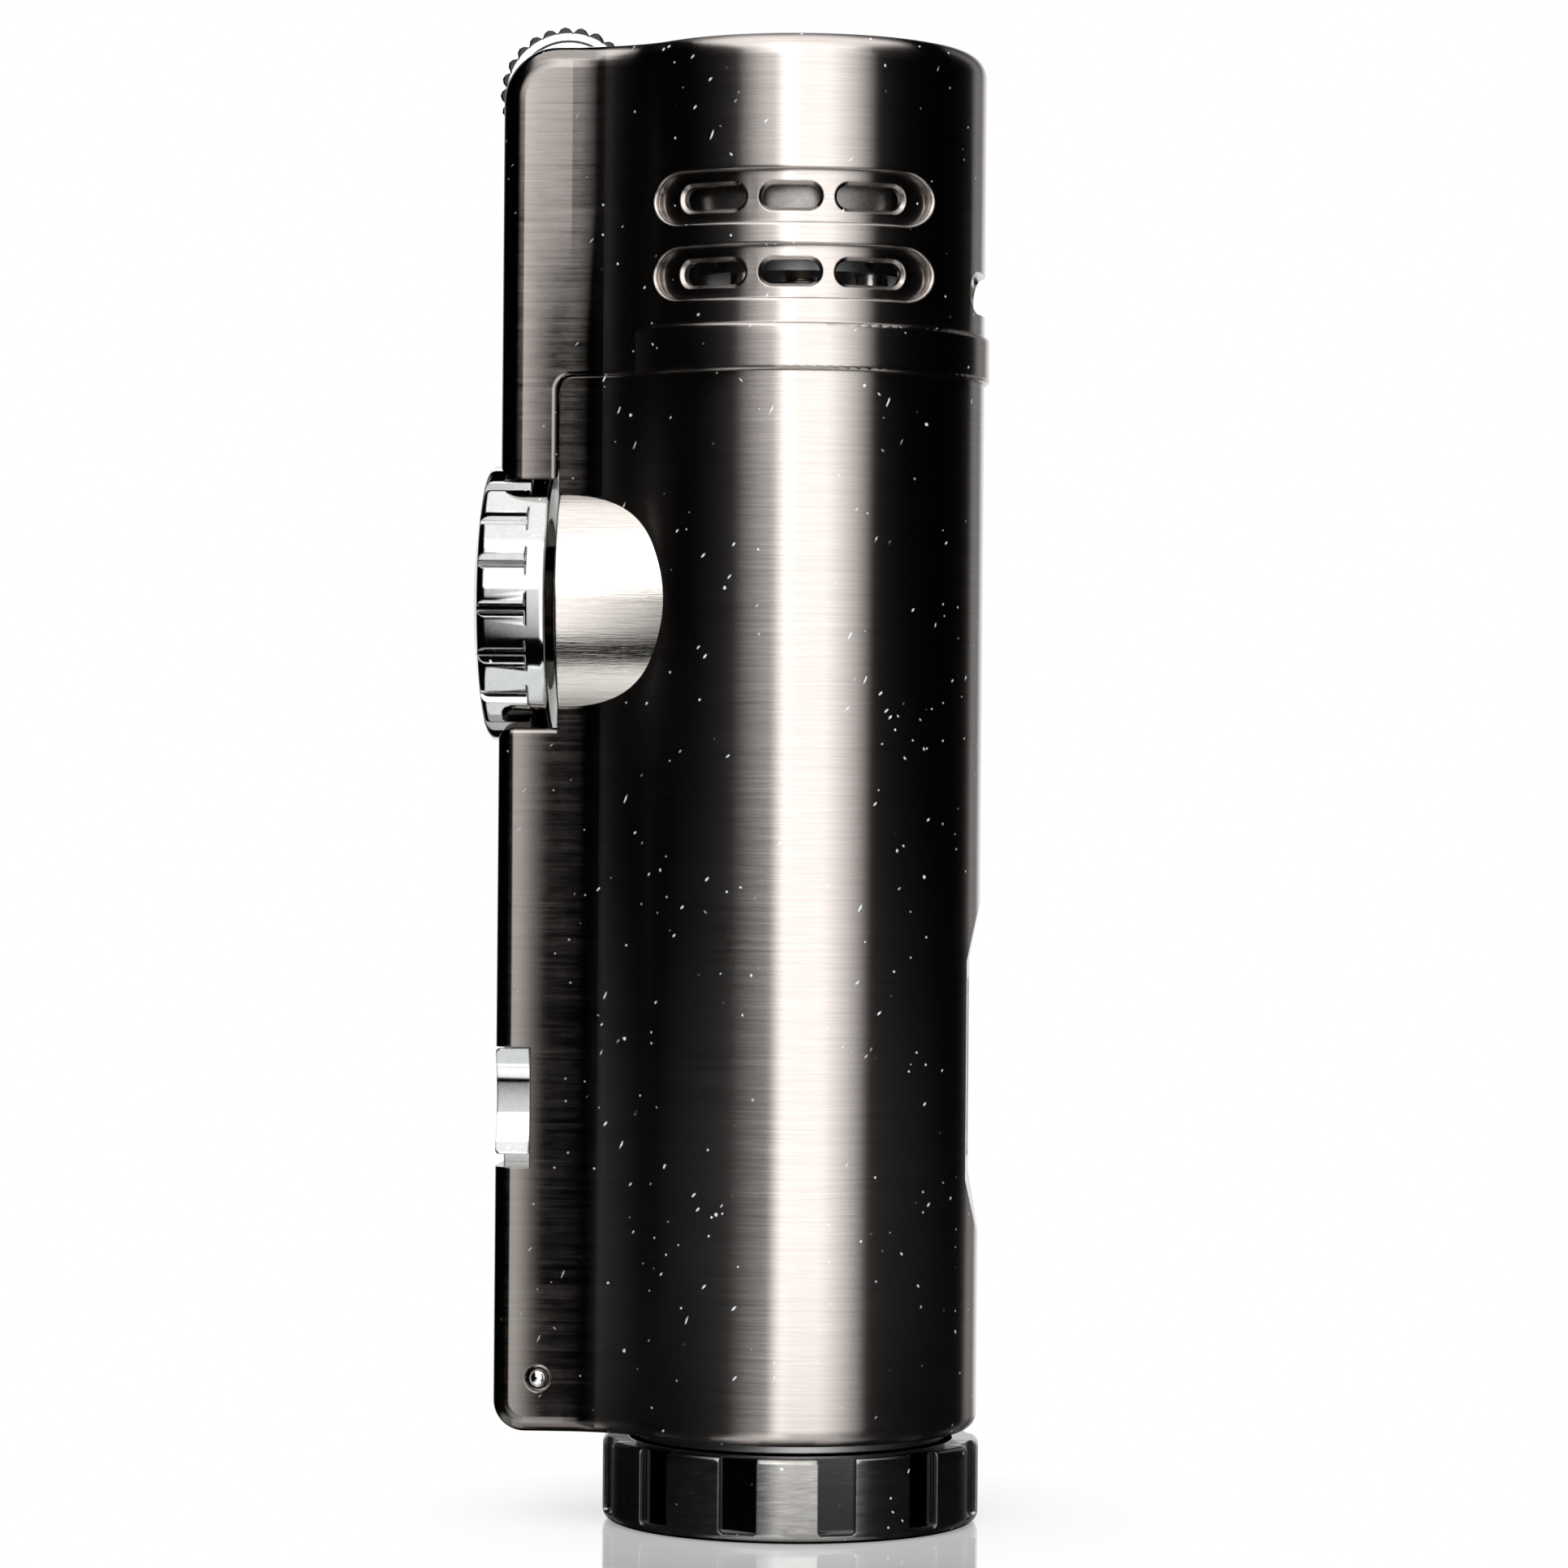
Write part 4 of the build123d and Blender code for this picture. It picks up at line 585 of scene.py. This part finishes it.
sideKnob = {
    "sides": 144, "phase": 1.25, "stemEnd": 12.65, "stemRadius": 3.6, "back": 14.76, "radius": 8.45,
    "backEdge": 0.2, "backSteps": 3, "frontEdge": 0.55, "frontSteps": 5, "domeRadius": 37.5, "reach": 19.8,
    "faceRings": (7.3, 6.8), "seatRadius": 6.22, "seatFloor": 19.0, "bevel": 0.07, "height": 56.2,
    "evenBack": 0.35, "evenGroove": 0.1,   # two rings that keep the light even behind the grooves
    "grooves": {
        "count": 18, "turn": 6.0, "from": (7.95, -0.95, 15.96), "to": (9.15, 0.95, 21.0),
        "round": 0.10, "roundSteps": 4, "floor": 0.16,
    },
}


def makeSideKnob(look):
    def dome(radius):
        return look["reach"] - look["domeRadius"] + math.sqrt(look["domeRadius"] ** 2 - radius**2)

    radius, edge = look["radius"], look["frontEdge"]
    rings = [(look["stemEnd"], look["stemRadius"]), (look["back"], look["stemRadius"])]
    rings += rounding(radius, look["backEdge"], look["back"] + look["backEdge"], look["backSteps"], False)
    grooveEnd = look["grooves"]["from"][2]
    rings += [(look["back"] + look["evenBack"], radius), (grooveEnd - look["evenGroove"], radius)]
    rings += rounding(radius, edge, dome(radius - edge) - edge, look["frontSteps"], True)
    rings += [(dome(inner), inner) for inner in look["faceRings"] + (look["seatRadius"],)]
    rings.append((look["seatFloor"], look["seatRadius"]))
    knob = turnedBlank("sideKnob", look["sides"], rings, look["phase"])
    cutGrooves(knob, look["grooves"])
    finishPiece(
        knob, look["bevel"], "polishedNickel", "punch_body", ["side_knob"],
        (0, -90, 0), (0, 0, look["height"]))


baseKnob = {
    "sides": 144, "phase": 2.2, "radius": 11.55, "height": 5.1, "footEdge": 0.7, "footSteps": 6,
    "topEdge": 0.35, "topSteps": 4, "rimInner": 9.95, "webTop": 3.0,
    "tubeRadius": 4.22, "tubeBore": 3.12, "tubeTop": 8.6, "portRadius": 3.6, "portDepth": 1.6, "bevel": 0.1,
    "clipGroove": (7.45, 8.19, 3.86),   # from, to and radius; the clip snaps in here
    "flutes": {
        "count": 12, "turn": -72.8, "from": (11.05, -1.175, 0.5), "to": (13.0, 1.175, 6.0),
        "round": 0.3, "roundSteps": 4, "floor": 1.0,
    },
}


def makeBaseKnob(look):
    radius, top, port = look["radius"], look["height"], look["portRadius"]
    web, tube, bore = look["webTop"], look["tubeRadius"], look["tubeBore"]
    low, high, seat = look["clipGroove"]
    rings = [(0, port)]
    rings += rounding(radius, look["footEdge"], look["footEdge"], look["footSteps"], False)
    rings += rounding(radius, look["topEdge"], top - look["topEdge"], look["topSteps"], True)
    rings += [
        (top, look["rimInner"]), (web, look["rimInner"]), (web, tube),
        (low, tube), (low, seat), (high, seat), (high, tube),
        (look["tubeTop"], tube), (look["tubeTop"], bore),
        (look["portDepth"], bore), (look["portDepth"], port), (0, port),
    ]
    knob = turnedBlank("baseKnob", look["sides"], rings, look["phase"])
    cutGrooves(knob, look["flutes"])
    finishPiece(knob, look["bevel"], "brushedNickel", "adjuster_body", ["base_knob"])


thumbWheel = {
    "teeth": 25, "radius": 4.2, "toothDepth": 0.35, "width": 1.8, "bore": 0.95, "hub": 1.75,
    "rimInner": 3.4, "dish": 0.15, "edge": 0.12, "shoulder": 0.09, "rimBand": 0.02,
    "centre": (-14.1, 87.2), "inner": 1.2,
    "sidesPerTooth": 4,   # a gap, a shoulder, the crest and another shoulder
}


def makeThumbWheel(name, look, side):
    wide, radius, edge, dish = look["width"], look["radius"], look["edge"], look["dish"]
    half = [
        (0, look["bore"]), (0, look["hub"]), (dish, look["hub"] + dish), (dish, look["rimInner"] - dish),
        (0, look["rimInner"]), (0, radius - edge), (edge, radius),
    ]
    rings = half + [(wide - height, reach) for height, reach in reversed(half)] + [half[0]]
    perTooth = look["sidesPerTooth"]
    wheel = turnedBlank(name, perTooth * look["teeth"], rings)
    pitch = math.radians(360.0 / (perTooth * look["teeth"]))
    rimFrom = radius - edge - look["rimBand"]
    gap, shoulder = (radius - look["toothDepth"]) / radius, 1 - look["shoulder"] / radius
    for rest, share in ((0, gap), (1, shoulder), (3, shoulder)):
        selectVertices(wheel, lambda place: math.hypot(place.x, place.y) > rimFrom
                       and round(math.atan2(place.y, place.x) / pitch) % perTooth == rest)
        bpy.ops.transform.resize(value=(share, share, 1), center_override=(0, 0, 0))
        bpy.ops.object.mode_set(mode="OBJECT")
    start = look["inner"] if side > 0 else -look["inner"] - wide
    finishPiece(
        wheel, 0.0, "wheelChrome", "flint_wheel_body", ["thumb_wheels"],
        (-90, 0, 0), (look["centre"][0], start, look["centre"][1]))


makeSideKnob(sideKnob)
makeBaseKnob(baseKnob)
makeThumbWheel("thumbWheelNear", thumbWheel, -1)
makeThumbWheel("thumbWheelFar", thumbWheel, 1)
print("knobs and thumb wheels made")

camera = {
    "away": 315.0, "turn": 3.2, "height": 45.2, "aside": -0.73, "lens": 117.4, "roll": 0.47,
    "sensor": 36, "near": 0.01, "far": 20,
}
turn = math.radians(camera["turn"])
right = Vector((math.cos(turn), math.sin(turn), 0))
back = Vector((math.sin(turn), -math.cos(turn), 0))
aim = right * camera["aside"] * mm + Vector((0, 0, camera["height"] * mm))
bpy.ops.object.select_all(action="DESELECT")
bpy.ops.object.camera_add(location=aim + back * camera["away"] * mm)
cameraObject = bpy.context.object
cameraObject.name = "studioCamera"
cameraObject.rotation_euler = (
    (-back).to_track_quat("-Z", "Y").to_matrix() @ Matrix.Rotation(math.radians(camera["roll"]), 3, "Z")
).to_euler()
cameraObject.data.lens = camera["lens"]
cameraObject.data.sensor_width = camera["sensor"]
cameraObject.data.clip_start = camera["near"]
cameraObject.data.clip_end = camera["far"]
bpy.context.scene.camera = cameraObject
print("camera set")

studio = {
    "roomGlow": 0.0015, "backdropGlow": 1.0, "backdropEdge": 0.925, "backdropSoft": 0.04,
    "lampCentre": 45.0,
    # turns of the two sides and lifts of the two ends in degrees, distance in mm, radiance,
    # and the soft share of each side
    "lamps": {
        "keyBox": (-12.5, 50.0, -32.0, 50.0, 600, 2.75, 0.16, 0.48),
        "upperBox": (-36.0, -3.0, 12.0, 52.0, 600, 3.0, 0.55, 0.0),
        "topBox": (-32.0, 32.0, 48.0, 112.0, 500, 2.2, 0.0, 0.0),
        "rightRearBox": (134.0, 156.0, -20.0, 40.0, 700, 0.35, 0.3, 0.3),
        "leftRearBox": (-156.0, -134.0, -20.0, 40.0, 700, 0.35, 0.3, 0.3),
    },
}
scene = bpy.context.scene
scene.view_settings.view_transform = "Standard"
world = bpy.data.worlds.new("studio")
scene.world = world
world.use_nodes = True
sky = Nodes(world.node_tree)
sky.tree.nodes.clear()
seen = sky.add("ShaderNodeLightPath", out="Is Camera Ray")
direction = sky.add("ShaderNodeTexCoord", out="Generated")
behind = sky.add("ShaderNodeSeparateXYZ", None, {0: direction}, 1)
mirrored = seen.other("Is Glossy Ray").atLeast(seen.other("Is Transmission Ray"))
mirrored = mirrored * behind.above(studio["backdropEdge"], studio["backdropSoft"])
strength = seen + (1.0 - seen) * (mirrored * studio["backdropGlow"] + studio["roomGlow"])
light = sky.add("ShaderNodeBackground", None, {"Color": rgb(1, 1, 1), "Strength": strength})
sky.add("ShaderNodeOutputWorld", None, {"Surface": light})


def softenSides(lamp, softLeft, softRight):
    # the lamp fades out towards its left and right side
    nodes = Nodes(lamp.node_tree)
    glow = next(node for node in nodes.tree.nodes if node.type == "EMISSION")
    place = nodes.add("ShaderNodeNewGeometry", out="Parametric")
    across = nodes.add("ShaderNodeSeparateXYZ", None, {0: place})
    level = 1.0
    if softLeft:
        level = level * across.above(softLeft / 2, softLeft / 2)
    if softRight:
        level = level * across.below(1 - softRight / 2, softRight / 2)
    nodes.tree.links.new(level.socket, glow.inputs["Strength"])


for name, look in studio["lamps"].items():
    fromTurn, toTurn, fromLift, toLift, away, radiance, softLeft, softRight = look
    bearing = math.radians((fromTurn + toTurn) / 2)
    lift = math.radians((fromLift + toLift) / 2)
    wide = 2 * away * math.tan(math.radians((toTurn - fromTurn) / 2))
    tall = 2 * away * math.tan(math.radians((toLift - fromLift) / 2))
    level = math.cos(lift)
    toLamp = Vector((math.sin(bearing) * level, -math.cos(bearing) * level, math.sin(lift)))
    centre = Vector((0, 0, studio["lampCentre"] * mm))
    bpy.ops.object.light_add(type="AREA", location=centre + toLamp * away * mm)
    lamp = bpy.context.object
    lamp.name = name
    lamp.rotation_euler = toLamp.to_track_quat("Z", "Y").to_euler()
    lamp.data.shape = "RECTANGLE"
    lamp.data.size = wide * mm
    lamp.data.size_y = tall * mm
    lamp.data.energy = radiance * math.pi * wide * tall * mm * mm
    lamp.visible_camera = False
    if softLeft or softRight:
        lamp.data.use_nodes = True
        softenSides(lamp.data, softLeft, softRight)
print("lamps:", len(studio["lamps"]))


tableLook = {
    "sides": 128, "radius": 48.0, "drop": 0.02, "floorSize": 6.0, "floorDrop": 0.1,
    "colour": rgb(0.86, 0.86, 0.86), "shade": (12.0, 26.0), "shadeShare": 0.25,
    "mirror": 0.6, "mirrorFade": (22.0, 36.0), "mirrorRoughness": 0.06,
    # what the part itself sees of the table: a pale glow where it looks steeply down, and a fainter mirror
    "glow": 1.3, "glowColour": rgb(0.95, 1.0, 0.97), "glowSteep": (0.62, 0.08), "glowAround": (21.0, 3.0),
    "glowUnder": (10.0, 1.0), "mirrorAround": 0.4,
}


def fadeOut(away, span):
    near, far = span
    return away.below((near + far) / 2, (far - near) / 2)


def tableFinish(look):
    # white and glossy: it shows a faint mirror image and a contact shadow, and fades to plain white
    finish = Finish("tableTop")
    x, y = finish.place()[:2]
    away = (x * x + y * y) ** 0.5
    seen = finish.add("ShaderNodeLightPath", out="Is Camera Ray")
    steep = 1.0 - finish.add("ShaderNodeLayerWeight", None, {"Blend": 0.5}, 1)
    lit = finish.add("ShaderNodeBsdfDiffuse", None, {"Color": look["colour"]})
    mirror = finish.add(
        "ShaderNodeBsdfGlossy", None, {"Color": rgb(1, 1, 1), "Roughness": look["mirrorRoughness"]})
    white = finish.add("ShaderNodeEmission", None, {"Color": rgb(1, 1, 1), "Strength": 1.0})
    # the pale glow lights the part from around the foot, and the foot's own underside
    reach = away.above(*look["glowAround"]).atLeast(away.below(*look["glowUnder"]))
    glow = steep.above(*look["glowSteep"]) * reach * look["glow"]
    pale = finish.add("ShaderNodeEmission", None, {"Color": look["glowColour"], "Strength": glow})
    mirrorShare = fadeOut(away, look["mirrorFade"]) * look["mirror"]
    top = finish.add("ShaderNodeMixShader", None, {0: mirrorShare, 1: white, 2: mirror})
    shadeShare = fadeOut(away, look["shade"]) * look["shadeShare"]
    top = finish.add("ShaderNodeMixShader", None, {0: shadeShare, 1: top, 2: lit})
    around = finish.add("ShaderNodeMixShader", None, {0: look["mirrorAround"], 1: pale, 2: mirror})
    surface = finish.add("ShaderNodeMixShader", None, {0: seen, 1: around, 2: top})
    finish.add("ShaderNodeOutputMaterial", None, {"Surface": finish.clearFromBelow(surface)})
    return finish.material


bpy.ops.object.select_all(action="DESELECT")
bpy.ops.mesh.primitive_circle_add(
    vertices=tableLook["sides"], radius=tableLook["radius"] * mm, fill_type="NGON",
    location=(0, 0, -tableLook["drop"] * mm))
table = bpy.context.object
table.name = "tableTop"
table.data.materials.append(tableFinish(tableLook))
bpy.ops.mesh.primitive_plane_add(size=tableLook["floorSize"], location=(0, 0, -tableLook["floorDrop"] * mm))
floor = bpy.context.object
floor.name = "floor"
paper = Finish("floorPaper")
plain = paper.add("ShaderNodeEmission", None, {"Color": rgb(1, 1, 1), "Strength": 1.0})
paper.add("ShaderNodeOutputMaterial", None, {"Surface": paper.clearFromBelow(plain)})
floor.data.materials.append(paper.material)
for rays in ("glossy", "diffuse", "transmission", "shadow"):
    setattr(floor, "visible_" + rays, False)
print("table and floor set")
